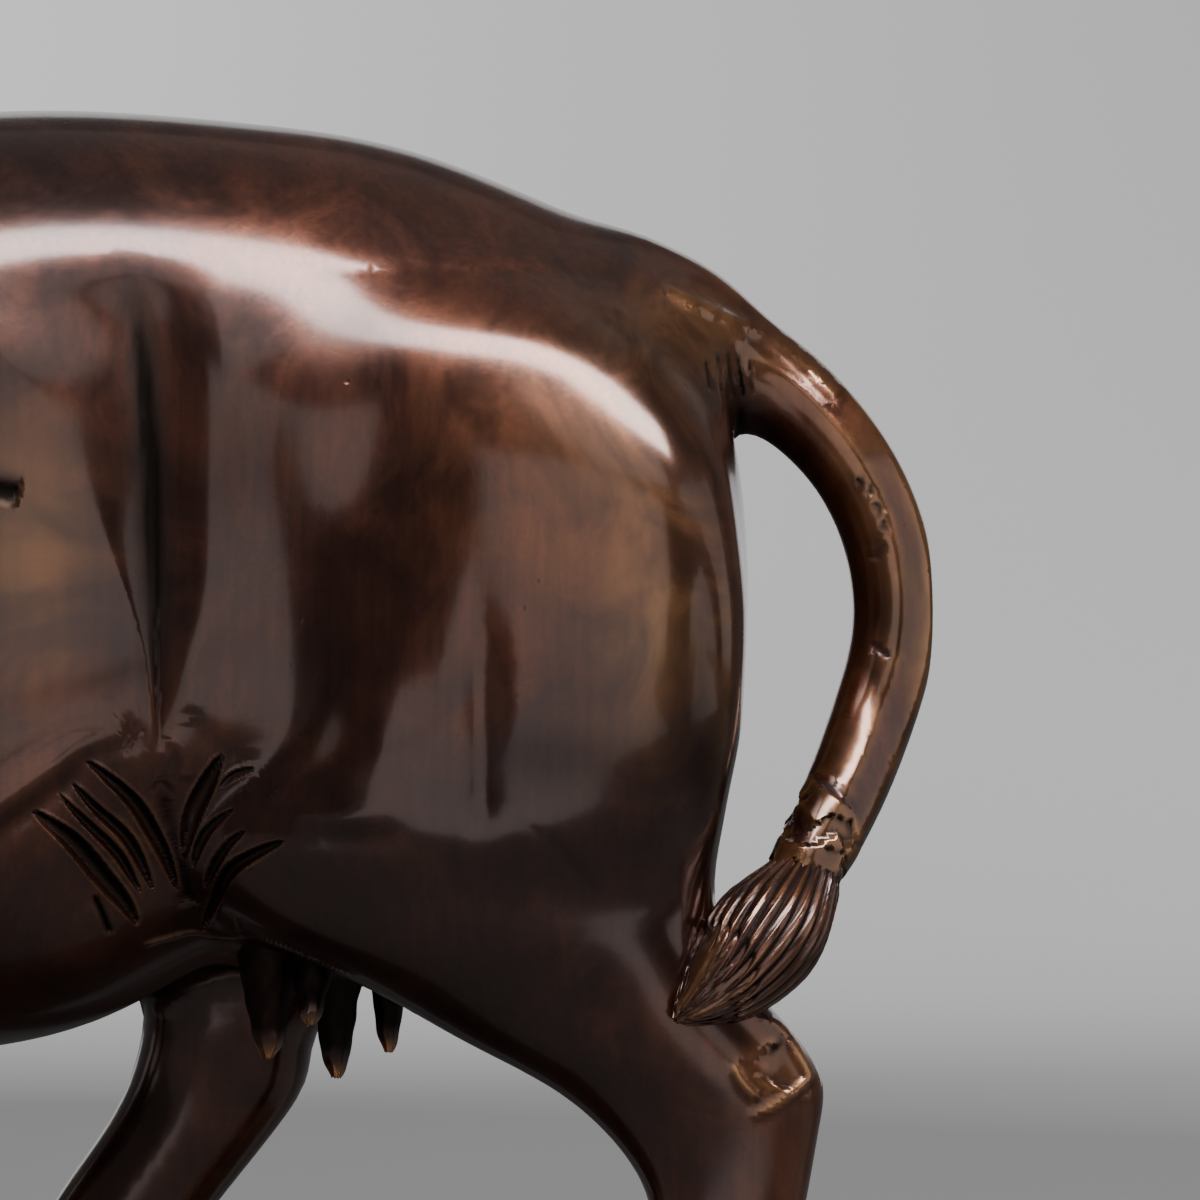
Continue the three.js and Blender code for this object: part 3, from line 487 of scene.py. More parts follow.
# Places are [along the face, above its line], sizes are half of the whole
face = dict(
    eye=(34, 6), eyeHalf=(8.5, 4.6), eyeRise=2.6, lid=(1.28, 0.2, 1.3), socket=(1.02, 0.1, 0.9),
    brow=(32, 15), browHalf=(16, 4), browRise=1.6,
    nostril=(143, 1), nostrilHalf=(5.2, 4.2), nostrilDepth=5, wing=(1.5, 0.45, 1.5),
    mouth=(120, -16), mouthFall=0.06, mouthWidth=1.3, mouthStart=(104, 116), mouthDepth=2.0,
    jaw=(38, -24), jawHalf=(24, 14), jawRise=1.6, cheek=(74, -6), cheekHalf=(18, 9), cheekDepth=1.4,
    sides=(10, 12), backOfFace=-340,
)


def carveHead(p):
    x, y, z = p.T
    along, up = headPlace(x, z)
    side = np.abs(y)
    near, far = (side > reach for reach in face["sides"])
    on = smoothStep(along, -10, 4) * (x < face["backOfFace"])
    height, dirt = np.zeros(len(p)), np.zeros(len(p))

    def away(name):  # how far from a feature, in halves of its size
        (atAlong, atUp), (halfAlong, halfUp) = face[name], face[name + "Half"]
        return (along - atAlong) / halfAlong, (up - atUp) / halfUp

    # the eye, between two lids
    ex, ey = away("eye")
    ball = np.clip(1 - ex ** 2 - ey ** 2, 0, 1) ** 0.5
    rim = np.hypot(ex, ey)
    lidAt, lidWidth, lidRise = face["lid"]
    cutAt, cutWidth, cutDepth = face["socket"]
    lids = lidRise * bell((rim - lidAt) / lidWidth) - cutDepth * bell((rim - cutAt) / cutWidth)
    height += (face["eyeRise"] * ball + lids) * on * far
    bx, by = away("brow")
    height += face["browRise"] * bell(bx) * bell(by) * on * near
    dirt += (bell((rim - 1.04) / 0.13) - 0.5 * bell((rim - 1.3) / 0.16)) * on * far
    # nostrils with their wings, and the line of the mouth
    around = np.hypot(*away("nostril"))
    flank = smoothStep(side, 6, 11)
    wingAt, wingWidth, wingRise = face["wing"]
    height -= face["nostrilDepth"] * bell(around) * flank
    height += wingRise * bell((around - wingAt) / wingWidth) * flank
    dirt += 1.5 * bell(around) * flank
    mouthAlong, mouthUp = face["mouth"]
    line = (up - mouthUp + face["mouthFall"] * (along - mouthAlong)) / face["mouthWidth"]
    mouth = bell(line) * smoothStep(along, *face["mouthStart"])
    height -= face["mouthDepth"] * mouth
    dirt += mouth
    jx, jy = away("jaw")
    height += face["jawRise"] * bell(jx) * bell(jy) * on
    cx, cy = away("cheek")
    height -= face["cheekDepth"] * bell(cx) * bell(cy) * on * near
    return height, np.clip(dirt, -1, 1)


hoof = dict(
    top=40, reach=12, cleftWidth=1.7, cleftDepth=4.5, cleftTop=(15, 20), cleftStart=(0.45, 0.8),
    cleftDirt=1.2, bandAt=20.5, bandWidth=0.9, bandDepth=0.9, bandDirt=0.8,
    growth=(5, 10, 15), growthWidth=0.8, growthDepth=0.25,
)


def carveHooves(p):
    x, y, z = p.T
    height, dirt = np.zeros(len(p)), np.zeros(len(p))
    for rowsAt, top, side, reach in legSet:
        front, rear, middle, thick = rowsAt(z)
        mine = (y * side > 0) & (x > front - hoof["reach"]) & (x < rear + hoof["reach"]) & (z < hoof["top"])
        towards = np.abs(2 * x - front - rear) / (rear - front)
        cleft = bell((y - side * middle) / hoof["cleftWidth"]) * smoothStep(towards, *hoof["cleftStart"])
        cleft *= fadeOut(z, *hoof["cleftTop"])
        band = bell((z - hoof["bandAt"]) / hoof["bandWidth"])
        growth = sum(bell((z - low) / hoof["growthWidth"]) for low in hoof["growth"])
        cut = hoof["cleftDepth"] * cleft + hoof["bandDepth"] * band + hoof["growthDepth"] * growth
        height -= mine * cut
        dirt += mine * (hoof["cleftDirt"] * cleft + hoof["bandDirt"] * band)
    return height, np.clip(dirt, -1, 1)


def carveAll(p):
    parts = [carve(p) for carve in (carveFlank, carveHead, carveHooves, carveKnob)]
    return sum(part[0] for part in parts), np.clip(sum(part[1] for part in parts), -1, 1)


knob = dict(at=(201, -35, 206), half=(12, 12, 17), reach=15, seed=11, faces=40, steep=0.34, limit=0.9,
            dirt=(-0.5, 0.12, -0.2))
knobDice = np.random.default_rng(knob["seed"])
knobSeeds = np.array(knob["at"]) + knobDice.uniform(-1, 1, (knob["faces"], 3)) * knob["half"]
knobTilts = knobDice.normal(0, 1, (knob["faces"], 3)) * knob["steep"]


def carveKnob(p):  # rough chisel cuts where the tail meets the tuft
    away = p - np.array(knob["at"])
    window = fadeOut(np.linalg.norm(away / (1, 1, 1.25), axis=1), knob["reach"] * 0.6, knob["reach"])
    height, dirt = np.zeros(len(p)), np.zeros(len(p))
    near = np.nonzero(window > 0)[0]
    gaps = np.linalg.norm(p[near, None] - knobSeeds[None], axis=2)
    own = gaps.argmin(1)
    cut = ((p[near] - knobSeeds[own]) * knobTilts[own]).sum(1)
    height[near] = np.clip(cut, -knob["limit"], knob["limit"] * 0.5) * window[near]
    dirt[near] = np.array(knob["dirt"])[own % 3] * window[near]
    return height, dirt


def slopeOf(field, p, nudge=0.15):
    slope = np.empty_like(p)
    for c in range(3):
        step = np.zeros(3)
        step[c] = nudge
        slope[:, c] = (field(p + step) - field(p - step)) / (2 * nudge)
    return slope


def settle(field, p, turns=3, most=2.5):  # moves points on to the surface
    for turn in range(turns):
        slope = slopeOf(field, p)
        steep = np.maximum((slope ** 2).sum(1), 0.05)
        stride = np.clip(field(p) / steep, -most, most)
        p = p - slope * stride[:, None]
    return p


def stretch(values, axis, times):  # linear in between
    n = values.shape[axis]
    at = np.arange((n - 1) * times + 1) / times
    low = np.minimum(at.astype(int), n - 2)
    share = (at - low).reshape([-1 if a == axis else 1 for a in range(3)])
    return np.take(values, low, axis) * (1 - share) + np.take(values, low + 1, axis) * share


def surfaceOf(field, low, high, step):
    # a quad for each lattice edge that crosses the surface, which a coarser lattice finds first
    times, band = 4, 5.5
    axes = []
    for lo, hi in zip(low, high):
        count = math.ceil((hi - lo) / (step * times)) * times + 1
        axes.append(lo + step * np.arange(count))
    coarse = np.stack(np.meshgrid(*[a[::times] for a in axes], indexing="ij"), -1)
    value = field(coarse.reshape(-1, 3)).reshape(coarse.shape[:3])
    for axis in range(3):
        value = stretch(value, axis, times)
    near = np.nonzero(np.abs(value) < step * band)
    value[near] = field(np.stack([axes[c][near[c]] for c in range(3)], 1))
    cells = np.array(value.shape) - 1
    flat = lambda i, j, k: (i * cells[1] + j) * cells[2] + k
    size = int(cells.prod())
    total = np.zeros((size, 3))
    count = np.zeros(size)
    quads = []
    for axis in range(3):
        u, v = (axis + 1) % 3, (axis + 2) % 3
        a = np.take(value, np.arange(cells[axis]), axis)
        b = np.take(value, np.arange(1, cells[axis] + 1), axis)
        index = np.nonzero((a < 0) != (b < 0))
        va, vb = a[index], b[index]
        place = np.stack(index, 1).astype(float)
        place[:, axis] += va / (va - vb)
        corners = []
        for du, dv in ((1, 1), (0, 1), (0, 0), (1, 0)):
            at = [i.copy() for i in index]
            at[u] -= du
            at[v] -= dv
            names = flat(*at)
            corners.append(names)
            for c in range(3):
                total[:, c] += np.bincount(names, place[:, c], size)
            count += np.bincount(names, minlength=size)
        quad = np.stack(corners, 1)
        turned = va >= 0
        quad[turned] = quad[turned][:, ::-1]
        quads.append(quad)
    used = np.nonzero(count)[0]
    number = np.full(size, -1)
    number[used] = np.arange(len(used))
    points = total[used] / count[used][:, None] * step + np.array([a[0] for a in axes])
    return points, number[np.concatenate(quads)]


pieces = []


def linkPiece(name, mesh, material, node="buffalo"):
    piece = addObject(name, mesh)
    pieces.append(piece)
    mesh.materials.clear()
    mesh.materials.append(material)
    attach(piece, "root")
    if node:
        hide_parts(node)
    return piece


def meshOf(name, points, faces):
    mesh = bpy.data.meshes.new(name)
    mesh.from_pydata(points.tolist(), [], faces.tolist() if hasattr(faces, "tolist") else faces)
    mesh.update()
    return mesh


# Boxes of finer mesh: [low x, high x, least |y|, low z, high z, times halved on the left, on the right]
bodyMesh = dict(
    low=(-500, -112, -20), high=(246, 112, 418), step=4.2,
    finer=[
        # the fold with its strokes, the hollow, the notch and the thigh
        (-22, 92, 30, 168, 242, 2, 1), (32, 66, 30, 242, 345, 1, 1), (-30, 18, 30, 278, 298, 2, 0),
        (-24, 44, 30, 242, 345, 1, 0), (44, 66, 30, 242, 335, 2, 1), (92, 112, 30, 196, 222, 1, 1),
        (124, 158, 30, 186, 216, 1, 1),
        # the head and its eyes, the tail with its knob and root, the hooves and the hocks
        (-500, -358, 0, 226, 372, 1, 1), (-404, -378, 10, 325, 349, 2, 2), (180, 236, 0, 190, 346, 1, 1),
        (188, 214, 14, 190, 224, 2, 2), (156, 190, 0, 306, 352, 1, 1), (-312, 200, 0, -2, 24, 1, 1),
        (130, 212, 0, 96, 170, 1, 1), (176, 206, 30, 134, 168, 2, 0),
    ],
    lineMargin=1.0,
)


def halve(mesh, chosenOf):  # halves the edges whose middles are chosen
    bm = bmesh.new()
    bm.from_mesh(mesh)
    middles = np.array([(e.verts[0].co + e.verts[1].co) / 2 for e in bm.edges])
    chosen = chosenOf(middles)
    edges = [e for e, yes in zip(bm.edges, chosen) if yes]
    bmesh.ops.subdivide_edges(bm, edges=edges, cuts=1, use_grid_fill=True)
    odd = [f for f in bm.faces if len(f.verts) > 4]
    bmesh.ops.triangulate(bm, faces=odd)
    bm.to_mesh(mesh)
    bm.free()


def inBoxes(level):
    def chosen(p):
        yes = np.zeros(len(p), bool)
        x, y, z = p.T
        for x0, x1, y0, z0, z1, onLeft, onRight in bodyMesh["finer"]:
            inside = (x > x0) & (x < x1) & (z > z0) & (z < z1) & (np.abs(y) > y0)
            yes |= inside & (level < np.where(y > 0, onRight, onLeft))
        return yes
    return chosen


def nearCarving(p):
    z = p[:, 2]
    x, onSide = carvingPlace(p)
    yes = np.zeros(len(p), bool)
    fine = carving["strokes"] + [line for line in carving["ridges"] + carving["creases"] if line[0] < 1.15]
    fine.append((1, [(row[1], row[0]) for row in flankHollow[2:-1]]))  # the hollow's front edge
    for width, *values, points in fine:
        near = nearLine(x, z, onSide, points, width)
        yes[near] |= alongLine(x[near], z[near], points)[0] < width / 2 + bodyMesh["lineMargin"]
    return yes


def pointsOf(mesh):
    points = np.empty(len(mesh.vertices) * 3)
    mesh.vertices.foreach_get("co", points)
    return points.reshape(-1, 3)


def setPoints(mesh, points):
    mesh.vertices.foreach_set("co", np.ascontiguousarray(points, dtype=np.float64).ravel())
    mesh.update()


def curveOfMesh(mesh, points, normals):
    # how sharply each point stands proud (above 0) or lies in a hollow (below 0), per mm
    edges = np.empty(len(mesh.edges) * 2, int)
    mesh.edges.foreach_get("vertices", edges)
    a, b = edges.reshape(-1, 2).T
    away = points[b] - points[a]
    length2 = np.maximum((away ** 2).sum(1), 1e-6)
    bendA = -2 * (away * normals[a]).sum(1) / length2
    bendB = 2 * (away * normals[b]).sum(1) / length2
    count = np.bincount(a, minlength=len(points)) + np.bincount(b, minlength=len(points))
    count = np.maximum(count, 1)
    bend = (np.bincount(a, bendA, len(points)) + np.bincount(b, bendB, len(points))) / count
    for turn in range(2):
        beside = np.bincount(a, bend[b], len(points)) + np.bincount(b, bend[a], len(points))
        bend = 0.5 * bend + 0.5 * beside / count
    return bend


def smoothFaces(mesh):
    mesh.polygons.foreach_set("use_smooth", [True] * len(mesh.polygons))


def storeValue(mesh, name, values):
    attribute = mesh.attributes.new(name, "FLOAT", "POINT")
    attribute.data.foreach_set("value", np.ascontiguousarray(values, dtype=np.float32))


wearAndShading = dict(
    # the bend, per mm, where wear or dirt begins, and how much more makes it full
    edge=(0.02, 0.16), hollow=(0.015, 0.10), hollowShare=0.8,
    # faces that look down get painted shade: its share, how far down they face, and the height it starts from
    under=0.55, facingDown=(0.1, 0.8), underFrom=(60, 120),
    # the plain flank, from start to end along x and above this height, has less of either
    plainStart=(-40, -20), plainEnd=(105, 125), plainAbove=150, plainEdge=0.85, plainHollow=0.7,
    # patches of [x, z, reach along x, reach along z, share]: worn to bright gold, which is partly a painted
    # highlight where the reflections are bright, then painted shade where they are dark
    rubbedAndLit=[(163, 262, 11, 28, 0.55), (15, 274, 13, 30, 0.4), (178, 330, 24, 12, 0.45),
            (231, 258, 5, 42, 0.5), (218, 300, 9, 14, 0.3), (150, 300, 30, 34, 0.22),
            (192, 150, 14, 10, 0.22)],
    darker=[(62, 298, 10, 20, 0.4), (177, 286, 6, 26, 0.4), (171, 238, 9, 20, 0.45), (140, 228, 24, 11, 0.35),
            (126, 354, 26, 9, 0.35), (92, 330, 12, 8, 0.25)],
)


def storeWearAndShading(mesh, points, normals, dirt):
    bend = curveOfMesh(mesh, points, normals)
    x, z = points[:, 0], points[:, 2]
    edge, hollow = (np.clip((curve - wearAndShading[name][0]) / wearAndShading[name][1], 0, 1)
                    for name, curve in (("edge", bend), ("hollow", -bend)))
    # the rubbed patches are gold wear and painted highlight, the darker patches are painted shade
    rubbedAndLit, darker = (sum(share * bell((x - atX) / reachX) * bell((z - atZ) / reachZ)
                          for atX, atZ, reachX, reachZ, share in wearAndShading[name])
                      for name in ("rubbedAndLit", "darker"))
    plain = smoothStep(x, *wearAndShading["plainStart"]) * fadeOut(x, *wearAndShading["plainEnd"])
    plain *= z > wearAndShading["plainAbove"]
    edge *= 1 - wearAndShading["plainEdge"] * plain
    hollow *= wearAndShading["hollowShare"] * (1 - wearAndShading["plainHollow"] * plain)
    # painted shade on faces that look down
    under = smoothStep(-normals[:, 2], *wearAndShading["facingDown"]) * smoothStep(z, *wearAndShading["underFrom"])
    under *= wearAndShading["under"]
    storeValue(mesh, "edge", np.clip(edge + np.clip(-dirt, 0, 1) + rubbedAndLit, 0, 1))
    # hollow holds dark patina in recesses, plus the painted shade of the undersides and of the darker patches
    storeValue(mesh, "hollow", np.clip(hollow + np.clip(dirt, 0, 1) + under + darker, 0, 1))


def carvedOn(points, normals):
    # lifts or cuts the points along their normals, and turns the normals with them
    height, dirt = carveAll(points)
    helper = np.where(np.abs(normals[:, :1]) < 0.7, [[1.0, 0, 0]], [[0, 1.0, 0]])
    across = unit(np.cross(normals, helper))
    along = np.cross(normals, across)
    turned = normals.copy()
    nudge = 0.2
    for way in (across, along):
        rise = (carveAll(points + way * nudge)[0] - carveAll(points - way * nudge)[0]) / (2 * nudge)
        turned -= way * rise[:, None]
    return points + normals * height[:, None], unit(turned), dirt


# The CAD box of the figure from head to tail, in its own mm
figureReach = [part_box("buffalo")[i][0] * 1000 - figureShift[0] for i in (0, 1)]


def keptUnder(x, limit, reach=4.0):  # eases what comes near the limit back inside it
    over = x - (limit - reach)
    return np.where(over > 0, limit - reach + reach * np.tanh(over / reach), x)


def makeFigure(material):
    points, faces = surfaceOf(broadForm, bodyMesh["low"], bodyMesh["high"], bodyMesh["step"])
    report(f"figure drawn: {len(points)} points")
    mesh = meshOf("figure", points, faces)
    for level in range(2):
        halve(mesh, inBoxes(level))
    setPoints(mesh, settle(broadForm, pointsOf(mesh)))
    halve(mesh, nearCarving)
    points = settle(broadForm, pointsOf(mesh), 1)
    normals = unit(slopeOf(broadForm, points))
    points, normals, dirt = carvedOn(points, normals)
    points[:, 0] = keptUnder(points[:, 0], figureReach[1])
    points[:, 0] = -keptUnder(-points[:, 0], -figureReach[0])
    storeWearAndShading(mesh, points, normals, dirt)
    setPoints(mesh, toFrame(points))
    smoothFaces(mesh)
    mesh.normals_split_custom_set_from_vertices(normals.tolist())
    triangles = sum(len(f.vertices) - 2 for f in mesh.polygons)
    report(f"figure carved: {len(points)} points, {triangles} triangles")
    return linkPiece("figure", mesh, material)


# Node trees are put together with these few helpers
def socketTo(tree, value, socket):
    if isinstance(value, bpy.types.NodeSocket):
        tree.links.new(value, socket)
    else:
        socket.default_value = value


def calc(tree, operation, *values, clamp=False):
    node = tree.nodes.new("ShaderNodeMath")
    node.operation = operation
    node.use_clamp = clamp
    for value, socket in zip(values, node.inputs):
        socketTo(tree, value, socket)
    return node.outputs[0]


def spread(tree, value, low, high, newLow=0.0, newHigh=1.0):
    node = tree.nodes.new("ShaderNodeMapRange")
    node.interpolation_type = "SMOOTHSTEP"
    for socket, number in zip(node.inputs, (value, low, high, newLow, newHigh)):
        socketTo(tree, number, socket)
    return node.outputs[0]


def blendColour(tree, share, a, b, way="MIX"):
    node = tree.nodes.new("ShaderNodeMix")
    node.data_type = "RGBA"
    node.blend_type = way
    socketTo(tree, share, node.inputs[0])
    socketTo(tree, a, node.inputs[6])
    socketTo(tree, b, node.inputs[7])
    return node.outputs[2]


def sums(tree):  # short names for what a tree multiplies and adds
    def times(a, b, clamp=False):
        return calc(tree, "MULTIPLY", a, b, clamp=clamp)

    def plus(a, b, clamp=False):
        return calc(tree, "ADD", a, b, clamp=clamp)
    return times, plus


def placeOf(tree, upScale):
    place = tree.nodes.new("ShaderNodeTexCoord")
    mapping = tree.nodes.new("ShaderNodeMapping")
    mapping.inputs["Scale"].default_value = (1, 1, upScale)
    tree.links.new(place.outputs["Object"], mapping.inputs["Vector"])
    return mapping.outputs["Vector"]


def noise(tree, place, scale, detail, rough, warp):
    node = tree.nodes.new("ShaderNodeTexNoise")
    tree.links.new(place, node.inputs["Vector"])
    node.inputs["Scale"].default_value = scale
    node.inputs["Detail"].default_value = detail
    node.inputs["Roughness"].default_value = rough
    node.inputs["Distortion"].default_value = warp
    return node.outputs[0]


patinaLook = dict(
    # noises are [scale, detail, roughness, warp, scale along z]
    clouds=(11, 3, 0.6, 0.6, 1), swirls=(34, 3, 0.62, 1.4, 0.8), streaks=(420, 1, 0.6, 0, 0.07),
    grain=(900, 1, 0.6, 0, 1), dents=(52, 1, 0.5, 0.4, 1), pitted=(26, 2, 0.55, 0, 1),
    # the near-black colour is dark patina in recesses and also painted shade
    cloudShare=0.7, streakShare=0.6, grimeAndShade=(0.010, 0.008, 0.007, 1), grimeRough=0.4, glossEnd=0.9,
    # [low, high] of a noise, then the values there where they aren't 0 and 1
    warm=(0.36, 0.72), shade=(0.3, 0.7, 0.82, 1.18), broken=(0.3, 0.62, 0.35, 1),
    rough=(0.3, 0.7, -0.04, 0.06), pit=(0.03, 0.12, -1, 0), pitPlaces=(0.58, 0.68),
    pitScale=130, fineHeight=0.25, pitHeight=0.6, swirlHeight=0.5, dentHeight=0.9,
)


def patinaGroup():
    look, places = patinaLook, {}
    tree = bpy.data.node_groups.new("brownPatina", "ShaderNodeTree")
    ask = tree.interface.new_socket
    for name in ("Dark", "Warm", "Gold"):
        ask(name, in_out="INPUT", socket_type="NodeSocketColor")
    for name, value in (
        ("Edge", 0.0), ("Hollow", 0.0), ("Warmth", 0.5), ("Wear", 1.0), ("Roughness", 0.25),
        ("Metal", 0.5), ("Gloss", 1.0),
    ):
        ask(name, in_out="INPUT", socket_type="NodeSocketFloat").default_value = value
    ask("Color", in_out="OUTPUT", socket_type="NodeSocketColor")
    for name in ("Roughness", "Metallic", "Coat", "Height"):
        ask(name, in_out="OUTPUT", socket_type="NodeSocketFloat")
    asked = tree.nodes.new("NodeGroupInput").outputs
    given = tree.nodes.new("NodeGroupOutput").inputs
    times, plus = sums(tree)

    def noiseOf(name):
        *values, upScale = look[name]
        if upScale not in places:
            places[upScale] = placeOf(tree, upScale)
        return noise(tree, places[upScale], *values)

    clouds, swirls, streaks, grain = (noiseOf(name) for name in ("clouds", "swirls", "streaks", "grain"))
    warmth = plus(times(clouds, look["cloudShare"]), times(swirls, 1 - look["cloudShare"]))
    warmth = times(spread(tree, warmth, *look["warm"]), times(asked["Warmth"], 2))
    colour = blendColour(tree, calc(tree, "MINIMUM", warmth, 1), asked["Dark"], asked["Warm"])
    fine = plus(times(streaks, look["streakShare"]), times(grain, 1 - look["streakShare"]))
    colour = blendColour(tree, 1.0, colour, spread(tree, fine, *look["shade"]), "MULTIPLY")
    broken = spread(tree, swirls, *look["broken"])
    # gold where worn at proud edges, which in the rubbed patches is partly a painted highlight
    worn = times(times(asked["Edge"], broken), asked["Wear"], clamp=True)
    colour = blendColour(tree, worn, colour, asked["Gold"])
    # Hollow darkens to that colour and takes the coat off: dark patina in recesses, and painted shade where
    # it carries the undersides, the darker patches and the teats
    colour = blendColour(tree, asked["Hollow"], colour, look["grimeAndShade"])
    rough = plus(asked["Roughness"], spread(tree, swirls, *look["rough"]))
    rough = plus(rough, times(asked["Hollow"], look["grimeRough"]), clamp=True)
    metal = calc(tree, "MAXIMUM", calc(tree, "MAXIMUM", asked["Metal"], worn), asked["Hollow"])
    coat = times(asked["Gloss"], spread(tree, asked["Hollow"], 0, look["glossEnd"], 1, 0))
    pits = tree.nodes.new("ShaderNodeTexVoronoi")
    tree.links.new(places[1], pits.inputs["Vector"])
    pits.inputs["Scale"].default_value = look["pitScale"]
    pit = spread(tree, pits.outputs["Distance"], *look["pit"])
    pit = times(pit, spread(tree, noiseOf("pitted"), *look["pitPlaces"]))
    height = plus(times(fine, look["fineHeight"]), times(pit, look["pitHeight"]))
    height = plus(height, times(swirls, look["swirlHeight"]))
    height = plus(height, times(noiseOf("dents"), look["dentHeight"]))
    for name, value in (
        ("Color", colour), ("Roughness", rough), ("Metallic", metal), ("Coat", coat), ("Height", height),
    ):
        tree.links.new(value, given[name])
    return tree


patina = patinaGroup()


def patinaMaterial(name, finish):
    material = bpy.data.materials.new(name)
    material.use_nodes = True
    tree = material.node_tree
    shader = tree.nodes["Principled BSDF"]
    group = tree.nodes.new("ShaderNodeGroup")
    group.node_tree = patina
    for socket in ("Dark", "Warm", "Gold"):
        group.inputs[socket].default_value = (*finish[socket.lower()], 1)
    for socket in ("Warmth", "Wear", "Roughness", "Metal", "Gloss"):
        group.inputs[socket].default_value = finish[socket.lower()]
    for socket in ("Edge", "Hollow"):
        attribute = tree.nodes.new("ShaderNodeAttribute")
        attribute.attribute_name = socket.lower()
        tree.links.new(attribute.outputs["Fac"], group.inputs[socket])
    bump = tree.nodes.new("ShaderNodeBump")
    bump.inputs["Distance"].default_value = finish["bump"]
    tree.links.new(group.outputs["Height"], bump.inputs["Height"])
    tree.links.new(bump.outputs["Normal"], shader.inputs["Normal"])
    for output, socket in (("Color", "Base Color"), ("Roughness", "Roughness"), ("Metallic", "Metallic"),
                           ("Coat", "Coat Weight")):
        tree.links.new(group.outputs[output], shader.inputs[socket])
    shader.inputs["Coat Roughness"].default_value = finish["glossRoughness"]
    return material


bodyFinish = dict(
    dark=(0.034, 0.011, 0.008), warm=(0.13, 0.036, 0.015), gold=(0.48, 0.23, 0.085),
    warmth=0.5, wear=0.6, roughness=0.22, metal=0.75, gloss=0.85, glossRoughness=0.13, bump=0.00015,
)
brass = patinaMaterial("brownBrass", bodyFinish)
makeFigure(brass)


# Geometry Nodes sweep a round section along a path, with flutes round it or rings along it
sweepForm = dict(fadeIn=0.08, fadeOut=0.03, fluteCrest=0.75, ringCrest=0.6)


def sweepTree():
    tree = bpy.data.node_groups.new("sweepAlongPath", "GeometryNodeTree")
    ask = tree.interface.new_socket
    ask("Geometry", in_out="INPUT", socket_type="NodeSocketGeometry")
    for name, value in (("Steps", 60), ("Sides", 24), ("Flutes", 0), ("Rings", 0)):
        ask(name, in_out="INPUT", socket_type="NodeSocketInt").default_value = value
    for name in ("Flute Depth", "Flute Start", "Flute End", "Twist", "Ring Depth", "Ring End"):
        ask(name, in_out="INPUT", socket_type="NodeSocketFloat")
    ask("Material", in_out="INPUT", socket_type="NodeSocketMaterial")
    ask("Geometry", in_out="OUTPUT", socket_type="NodeSocketGeometry")
    asked = tree.nodes.new("NodeGroupInput").outputs
    times, plus = sums(tree)

    def step(kind, **inputs):  # adds a node and fills its inputs
        node = tree.nodes.new(kind)
        for name, value in inputs.items():
            socketTo(tree, value, node.inputs[name])
        return node

    def kept(geometry):  # keeps how far along its spline each point is
        node = step("GeometryNodeCaptureAttribute", Geometry=geometry)
        node.capture_items.new("FLOAT", "Value")
        socketTo(tree, step("GeometryNodeSplineParameter").outputs["Factor"], node.inputs["Value"])
        return node.outputs["Geometry"], node.outputs["Value"]

    def crestOf(turns, power):  # one rounded crest for each turn
        phase = calc(tree, "POWER", calc(tree, "FRACT", turns), power)
        return calc(tree, "SINE", times(phase, math.pi))

    spaced = step("GeometryNodeResampleCurve", Curve=asked["Geometry"], Count=asked["Steps"])
    path, along = kept(spaced.outputs[0])
    circle = step("GeometryNodeCurvePrimitiveCircle", Resolution=asked["Sides"], Radius=1)
    section, around = kept(circle.outputs["Curve"])
    radius = step("GeometryNodeInputRadius").outputs[0]
    swept = step("GeometryNodeCurveToMesh", Curve=path, Scale=radius,
                 **{"Profile Curve": section, "Fill Caps": True})
    start, end = asked["Flute Start"], asked["Flute End"]
    window = times(spread(tree, along, calc(tree, "SUBTRACT", start, sweepForm["fadeIn"]), start),
                   spread(tree, along, end, plus(end, sweepForm["fadeOut"]), 1, 0))
    turned = plus(around, times(along, asked["Twist"]))
    crest = times(crestOf(times(turned, asked["Flutes"]), sweepForm["fluteCrest"]), window)
    fade = spread(tree, along, 0, asked["Ring End"], 1, 0)
    ring = times(crestOf(times(along, asked["Rings"]), sweepForm["ringCrest"]), fade)
    outwards = step("ShaderNodeVectorMath")
    outwards.operation = "SCALE"
    socketTo(tree, step("GeometryNodeInputNormal").outputs[0], outwards.inputs[0])
    lift = plus(times(crest, asked["Flute Depth"]), times(ring, asked["Ring Depth"]))
    socketTo(tree, lift, outwards.inputs["Scale"])
    shape = step("GeometryNodeSetPosition", Geometry=swept.outputs[0], Offset=outwards.outputs[0]).outputs[0]
    for name, value in (("along", along), ("around", turned), ("crest", crest), ("ring", ring)):
        shape = step("GeometryNodeStoreNamedAttribute", Name=name, Geometry=shape, Value=value).outputs[0]
    for kind in ("GeometryNodeSetShadeSmooth", "GeometryNodeRealizeInstances"):
        shape = step(kind, Geometry=shape).outputs[0]
    shape = step("GeometryNodeSetMaterial", Geometry=shape, Material=asked["Material"]).outputs[0]
    tree.links.new(shape, tree.nodes.new("NodeGroupOutput").inputs["Geometry"])
    return tree


sweep = sweepTree()


